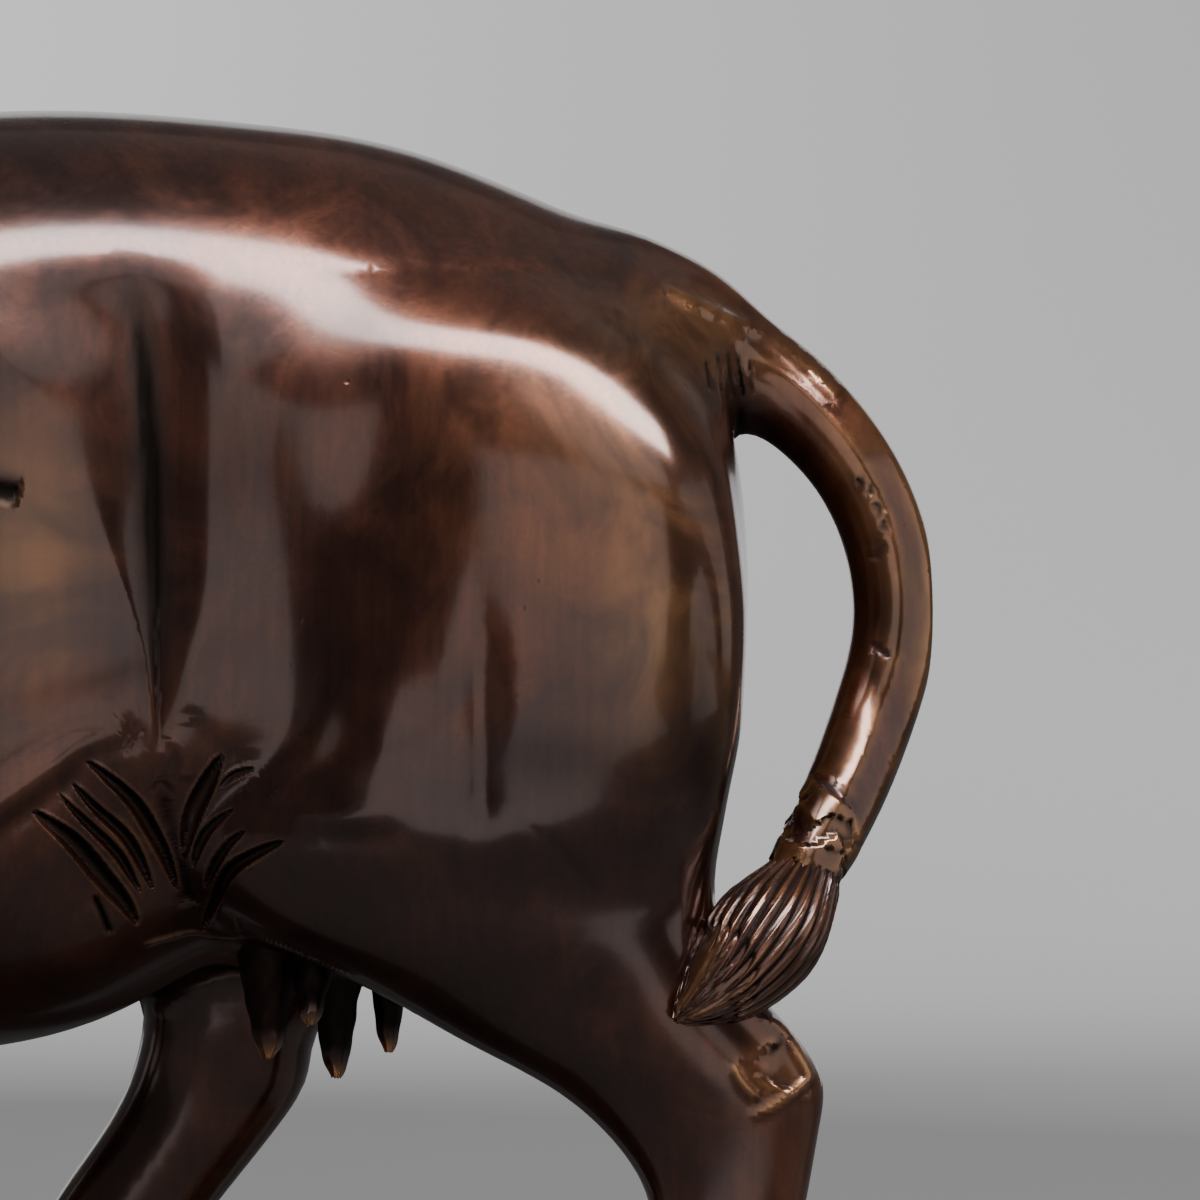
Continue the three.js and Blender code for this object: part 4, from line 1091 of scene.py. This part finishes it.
def sweptMesh(name, rows, material, **sizes):  # rows of [x, y, z, radius] in mm
    rowsAt = smoothRows([(i, *row) for i, row in enumerate(rows)])
    dense = np.stack(rowsAt(np.linspace(0, len(rows) - 1, 160)), 1)
    data = bpy.data.curves.new(name, "CURVE")
    data.dimensions = "3D"
    spline = data.splines.new("POLY")
    spline.points.add(len(dense) - 1)
    for point, place, radius in zip(spline.points, toFrame(dense[:, :3]), dense[:, 3]):
        point.co = (*place, 1)
        point.radius = max(radius, 0.2) / 1000
    pathObject = addObject(name, data)
    modifier = pathObject.modifiers.new("sweep", "NODES")
    modifier.node_group = sweep
    wanted = {"Material": material, **sizes}
    for item in sweep.interface.items_tree:
        if item.in_out == "INPUT" and item.name in wanted:
            modifier[item.identifier] = wanted[item.name]
    ready = pathObject.evaluated_get(bpy.context.evaluated_depsgraph_get())
    mesh = bpy.data.meshes.new_from_object(ready)
    bpy.data.objects.remove(pathObject)
    mesh.name = name
    return mesh


def valuesOf(mesh, name):
    values = np.empty(len(mesh.vertices), np.float32)
    mesh.attributes[name].data.foreach_get("value", values)
    return values


def normalsOf(mesh):
    values = np.empty(len(mesh.vertices) * 3, np.float32)
    mesh.vertex_normals.foreach_get("vector", values)
    return values.reshape(-1, 3)


def finishSwept(name, mesh, material, edge, hollow):
    storeValue(mesh, "edge", edge)
    storeValue(mesh, "hollow", hollow)
    return linkPiece(name, mesh, material)


tuft = dict(
    top=(201.5, -36, 199), tip=(168, -62, 164), bow=(3.5, 0, -4),
    radius=12.9, flutes=24, depth=0.95, twist=0.12,
    swell=[(-0.16, 0.56), (0, 0.6), (0.12, 0.74), (0.3, 0.98), (0.48, 1), (0.7, 0.78), (0.88, 0.42),
           (1, 0.06)],
    # the locks end at a cut, which is further along on the side that faces this way
    cut=0.7, cutSlant=0.11, cutSide=(0.78, 0, -0.63), cutDepth=0.35,
    # past the cut the tip has a few flat faces, scored along their length
    facets=5, facetHeight=0.5, scores=29, scoreDepth=0.22, sink=0.3, strand=0.1, strandsInFlute=3,
)


def makeTuft(material):
    top, tip, bow = (np.array(tuft[name], float) for name in ("top", "tip", "bow"))
    t = np.linspace(0, 1, 9)[:, None]
    places = (1 - t) ** 2 * top + 2 * t * (1 - t) * ((top + tip) / 2 + bow) + t ** 2 * tip
    radii = smoothRows(tuft["swell"])(t[:, 0])[0] * tuft["radius"]
    start = places[0] + (places[0] - places[1]) * 0.9
    rows = [(*start, radii[0] * 0.9)] + [(*p, r) for p, r in zip(places, radii)]
    mesh = sweptMesh("tuft", rows, material, Steps=130, Sides=240, Flutes=tuft["flutes"],
                     **{"Flute Depth": tuft["depth"] / 1000, "Flute Start": 0.16, "Flute End": 0.96,
                        "Twist": tuft["twist"]})
    along, crest, around = (valuesOf(mesh, name) for name in ("along", "crest", "around"))
    points, normals = pointsOf(mesh), normalsOf(mesh)
    cut = tuft["cut"] + tuft["cutSlant"] * (normals @ np.array(tuft["cutSide"]))
    past = smoothStep(along - cut, 0, 0.03)
    groove = bell((along - cut - 0.01) / 0.012)
    facet = np.abs(np.mod(around * tuft["facets"], 1) - 0.5) * 2
    scores = bell((np.mod(around * tuft["scores"] + 0.3 * np.sin(along * 30), 1) - 0.5) / 0.14)
    height = tuft["facetHeight"] * facet - tuft["scoreDepth"] * scores - tuft["depth"] * crest - tuft["sink"]
    height = past * height - tuft["cutDepth"] * groove
    phase = around * tuft["flutes"] * tuft["strandsInFlute"] * 2 * math.pi
    height += tuft["strand"] * np.sin(phase + 5 * np.sin(along * 7)) * (1 - past)
    setPoints(mesh, points + normals * height[:, None] / 1000)
    window = smoothStep(along, 0.1, 0.17) * (1 - past)
    uneven = 0.55 + 0.45 * np.sin(around * 47 + 9 * along) * np.sin(along * 23 + around * 13)
    edge = np.clip(window * crest ** 6 * 0.55 * uneven + past * facet ** 2 * 0.55, 0, 1)
    hollow = np.clip(window * (1 - crest) ** 1.3 * 1.15 + 0.7 * groove + past * scores * 0.4, 0, 1)
    return finishSwept("tuft", mesh, material, edge, hollow)


horn = dict(
    rows=[(-362, 8, 360, 14), (-357, 28, 366, 16), (-345, 52, 369, 15.5), (-322, 74, 371, 14.2),
          (-292, 88, 377, 12.4), (-262, 92, 389, 10), (-238, 85, 403, 7.6), (-222, 71, 418, 4.8),
          (-216, 58, 430, 2.2)],
    rings=22, ringDepth=0.7, ringEnd=0.72, slim=0.97, wear=0.5, dirt=0.7,
)


def makeHorn(side, material):
    rows = [(x, side * y, z, r * horn["slim"]) for x, y, z, r in horn["rows"]]
    name = "hornLeft" if side < 0 else "hornRight"
    mesh = sweptMesh(name, rows, material, Steps=220, Sides=40, Rings=horn["rings"],
                     **{"Ring Depth": horn["ringDepth"] / 1000, "Ring End": horn["ringEnd"]})
    along, ring = valuesOf(mesh, "along"), valuesOf(mesh, "ring")
    fade = fadeOut(along, 0.1, horn["ringEnd"])
    return finishSwept(name, mesh, material, horn["wear"] * ring ** 4, horn["dirt"] * fade * (1 - ring) ** 3)


# Teats hang from [x, y, z, length, lean along y, radius]
teats = dict(
    places=[(68, -18, 184, 32, -0.03, 6.8), (79, -23, 182, 23, -0.4, 5), (83.5, 9, 182, 37, 0.02, 6.2),
            (96.5, 15, 182, 31, 0.03, 4.8)],
    taper=[(0, 1.22), (0.3, 1.08), (0.7, 0.68), (0.92, 0.4), (1, 0.16)],
    # the teats hang in the belly's shade: dark and darkness paint shade on all but their worn tips
    lumps=0.25, facets=0.8, bright=(0.86, 0.97), brightness=1.3, dark=(0.76, 0.9), darkness=0.85,
)


def makeTeat(number, place, material):
    x, y, z, length, lean, radius = place
    down = unit(np.array([0, lean, -1.0]))
    t = np.array([0, 0.15, 0.3, 0.5, 0.7, 0.85, 0.94, 0.985, 1])
    radii = smoothRows(teats["taper"])(t)[0] * radius
    rows = [(*(np.array([x, y, z]) + down * length * share), r) for share, r in zip(t, radii)]
    name = f"teat{number}"
    mesh = sweptMesh(name, rows, material, Steps=48, Sides=28)
    along = valuesOf(mesh, "along")
    points, normals = pointsOf(mesh), normalsOf(mesh)
    lumps = np.sin(points[:, 0] * 900 + number) * np.sin(points[:, 2] * 700 + 2 * number)
    facet = np.abs(np.mod(np.arctan2(normals[:, 1], normals[:, 0]) * 1.1 + number, 1) - 0.5)
    height = teats["lumps"] * lumps + teats["facets"] * facet * along
    setPoints(mesh, points + normals * height[:, None] / 1000)
    worn = smoothStep(along, *teats["bright"]) * teats["brightness"]
    # painted shade on the teats, short of their worn tips
    return finishSwept(name, mesh, material, worn, fadeOut(along, *teats["dark"]) * teats["darkness"])


def ringFaces(rings, sides):  # joins ring after ring of points, and closes both ends
    faces = []
    for i in range(rings - 1):
        for s in range(sides):
            a, b = i * sides + s, i * sides + (s + 1) % sides
            faces.append((a, b, b + sides, a + sides))
    faces.append(tuple(range(sides))[::-1])
    faces.append(tuple(range((rings - 1) * sides, rings * sides)))
    return faces


# The ear's width is [share along, share of the half breadth]
ear = dict(
    root=(-350, 26, 346), tip=(-330, 84, 318), facing=(-0.75, 0.15, 0.35), steps=40, sides=48,
    halfWidth=15, thickness=2.6, cup=3.4, veins=14, veinHeight=0.35, wear=0.9, dirt=0.75,
    width=[(0, 0.42), (0.12, 0.66), (0.25, 0.9), (0.45, 1), (0.7, 0.75), (0.9, 0.35), (1, 0.05)],
)


def makeEar(side, material):
    root, tip, facing = (np.array(ear[name], float) * (1, side, 1) for name in ("root", "tip", "facing"))
    along, facing = tip - root, unit(facing)
    across = unit(np.cross(facing, along))
    t = np.linspace(-0.06, 1, ear["steps"])
    width = smoothRows(ear["width"])(np.clip(t, 0, 1))[0]
    angle = np.linspace(0, 2 * np.pi, ear["sides"], endpoint=False)
    u, v = np.cos(angle), np.sin(angle)
    points, wear, dirt = [], [], []
    for share, w in zip(t, width):
        cupped = ear["cup"] * w * (u ** 2 - 0.35) * math.sin(math.pi * min(max(share, 0.05), 1) ** 0.7)
        veins = ear["veinHeight"] * np.cos(u * ear["veins"]) * (v > 0) * w * (1 - u ** 2)
        thick = ear["thickness"] * (0.45 + 0.55 * w) * np.sqrt(np.maximum(1 - 0.55 * u ** 2, 0.1))
        lift = v * thick + cupped + veins
        middle = root + along * share
        points.append(middle + across * (u * w * ear["halfWidth"])[:, None] + facing * lift[:, None])
        wear.append(np.abs(u) ** 14 * ear["wear"])
        dirt.append(np.clip((v > 0) * (ear["dirt"] - 0.5 * u ** 2) * (1 - share), 0, 1))
    name = "earLeft" if side < 0 else "earRight"
    mesh = meshOf(name, toFrame(np.concatenate(points)), ringFaces(ear["steps"], ear["sides"]))
    bm = bmesh.new()
    bm.from_mesh(mesh)
    bmesh.ops.recalc_face_normals(bm, faces=bm.faces)
    bm.to_mesh(mesh)
    bm.free()
    smoothFaces(mesh)
    return finishSwept(name, mesh, material, np.concatenate(wear), np.concatenate(dirt))


makeTuft(brass)
for side in (left, right):
    makeHorn(side, brass)
    makeEar(side, brass)
for number, place in enumerate(teats["places"], 1):
    makeTeat(number, place, brass)
report("tuft, horns, ears and teats made")


# The plinth is one cast slab with a rounded arris and a fine line cut round it
base = dict(
    length=556, width=176, height=18, corner=14, middle=plinth["middle"],
    # [in from the side, height] up the edge, then over the top
    edge=[(0.6, 0), (0.0, 0.8), (0.0, 8.0), (0.35, 8.5), (0.0, 9.0), (0.0, 14.6), (0.25, 15.8), (0.9, 17.0),
          (1.9, 17.75), (3.2, 18.0), (6.4, 18.0), (6.9, 17.4), (7.9, 17.4), (8.4, 18.0), (14.0, 18.0)],
)


def makeBase(material):
    rings = []
    spans = 10
    for inset, z in base["edge"]:
        halfX, halfY = base["length"] / 2 - inset, base["width"] / 2 - inset
        r = max(base["corner"] - inset, 1.0)
        ring = []
        for cx, cy, turn in ((1, -1, -0.5), (1, 1, 0), (-1, 1, 0.5), (-1, -1, 1)):
            for i in range(spans + 1):
                a = (turn + i / spans / 2) * math.pi
                ring.append((cx * (halfX - r) + r * math.cos(a), cy * (halfY - r) + r * math.sin(a), z))
        rings.append(ring)
    sides = len(rings[0])
    points = np.array([p for ring in rings for p in ring], float)
    points[:, 0] += base["middle"]
    points[:, 2] -= base["height"] + plinth["restGap"]
    mesh = meshOf("slab", toFrame(points), ringFaces(len(rings), sides))
    smoothFaces(mesh)
    mesh.set_sharp_from_angle(angle=math.radians(40))
    heights = np.array([z for inset, z in base["edge"] for s in range(sides)])
    insets = np.array([inset for inset, z in base["edge"] for s in range(sides)])
    storeValue(mesh, "edge", bell((insets - 1.4) / 1.2) * (heights > 15) * 0.8)
    topLine = bell((insets - 7.4) / 0.6) * (heights > 17)
    sideLine = bell((heights - 8.5) / 0.4) * (insets > 0.2)
    storeValue(mesh, "hollow", np.clip(topLine + sideLine, 0, 1))
    return linkPiece("slab", mesh, material, "plinth")


baseFinish = dict(
    dark=(0.022, 0.012, 0.009), warm=(0.07, 0.026, 0.012), gold=(0.5, 0.28, 0.12),
    warmth=0.4, wear=0.7, roughness=0.34, metal=0.5, gloss=0.6, glossRoughness=0.13, bump=0.0003,
)
makeBase(patinaMaterial("darkBrass", baseFinish))
report("plinth made")


# The studio is a pale round cove with soft lights
studio = dict(flat=3.2, wall=9.0, height=7.0, rise=3.5, bends=24, sides=96, grey=0.62, world=0.09)


def makeCove():
    profile = [(0.0, 0.0), (studio["flat"], 0.0)]
    for i in range(1, studio["bends"] + 1):
        a = i / studio["bends"] * math.pi / 2
        r = studio["flat"] + (studio["wall"] - studio["flat"]) * math.sin(a)
        profile.append((r, studio["rise"] * (1 - math.cos(a))))
    profile.append((studio["wall"], studio["height"]))
    around = studio["sides"]
    points, faces = [], []
    for r, z in profile[1:]:
        for i in range(around):
            a = 2 * math.pi * i / around
            points.append((r * math.cos(a), r * math.sin(a), z))
    centre = len(points)
    points.append((0, 0, 0))
    faces += [(centre, i, (i + 1) % around) for i in range(around)]
    for ring in range(len(profile) - 2):
        for i in range(around):
            a = ring * around + i
            b = ring * around + (i + 1) % around
            faces.append((a, a + around, b + around, b))
    mesh = meshOf("floor", np.array(points), faces)
    smoothFaces(mesh)
    floor = addObject("floor", mesh)
    floor.visible_glossy = False
    floor.visible_diffuse = False
    material = bpy.data.materials.new("paper")
    material.use_nodes = True
    shader = material.node_tree.nodes["Principled BSDF"]
    shader.inputs["Base Color"].default_value = (*[studio["grey"]] * 3, 1)
    shader.inputs["Roughness"].default_value = 0.9
    mesh.materials.append(material)


def areaLight(name, at, towards, size, radiance, only=None):
    data = bpy.data.lights.new(name, "AREA")
    data.shape = "RECTANGLE"
    data.size, data.size_y = size
    data.energy = radiance * math.pi * size[0] * size[1]
    lamp = addObject(name, data)
    lamp.location = at
    lamp.rotation_euler = (Vector(towards) - Vector(at)).to_track_quat("-Z", "Y").to_euler()
    lamp.visible_camera = False
    if only:
        lamp.light_linking.receiver_collection = only


# Soft panels: [name, at, towards, size, radiance, what it lights]
lights = [
    ("strip", (0.77, -0.985, 2.04), (0.51, -0.02, 0.31), (2.0, 0.5), 22, "figure"),
    ("frontPanel", (0.88, -2.48, 0.88), (0.88, 0, 0.88), (1.91, 1.76), 0.88, "figure"),
    ("lowCard", (0.4, -1.5, 0.004), (0.4, -1.5, 1), (0.9, 1.8), 0.75, "figure"),
    ("highPanel", (0.93, -1.49, 1.77), (0.15, -0.08, 0.27), (1.23, 0.77), 1.1, "figure"),
    ("ceiling", (0, 0.3, 3.4), (0, 0.3, 0), (4.5, 4.0), 0.12, "figure"),
    ("farPanel", (0.2, 2.6, 1.0), (0.2, 0, 0.6), (3.4, 1.8), 0.6, "figure"),
    ("headPanel", (-2.8, -0.2, 1.0), (0, -0.1, 0.5), (2.2, 1.8), 0.5, "figure"),
    ("tailPanel", (2.6, -0.7, 0.9), (0, 0, 0.5), (1.8, 1.8), 0.8, "figure"),
    ("underCard", (0.1, -0.7, 0.003), (0.1, -0.7, 1), (2.4, 1.7), 0.12, "figure"),
    ("floorPanel", (1.0, 0.9, 3.4), (1.0, 0.9, 0), (5.0, 5.0), 0.9, "floor"),
    ("leftWash", (-3.4, 5.4, 2.6), (-2.8, 9, 1.6), (1.8, 1.2), 30, "floor"),
]
# Washes stand in a ring and light the cove only, brightest behind the statue
wash = dict(count=8, radius=1.7, height=3.3, aim=(9.0, 3.6), size=(1.3, 1.3), radiance=29, front=0.45)


def makeStudio():
    makeCove()
    lit = {"figure": bpy.data.collections.new("litFigure"), "floor": bpy.data.collections.new("litFloor")}
    for piece in pieces:
        lit["figure"].objects.link(piece)
    lit["floor"].objects.link(bpy.data.objects["floor"])
    for name, at, towards, size, radiance, what in lights:
        areaLight(name, at, towards, size, radiance, lit[what])
    for i in range(wash["count"]):
        angle = (i + 0.5) / wash["count"] * 2 * math.pi
        c, s = math.cos(angle), math.sin(angle)
        share = wash["front"] + (1 - wash["front"]) * (0.5 + 0.5 * s)
        at = (wash["radius"] * c, wash["radius"] * s, wash["height"])
        aim = (wash["aim"][0] * c, wash["aim"][0] * s, wash["aim"][1])
        areaLight(f"wash{i}", at, aim, wash["size"], wash["radiance"] * share, lit["floor"])
    world = bpy.data.worlds.new("studio")
    bpy.context.scene.world = world
    world.use_nodes = True
    world.node_tree.nodes["Background"].inputs["Color"].default_value = (*[studio["world"]] * 3, 1)


makeStudio()
report("studio lit")
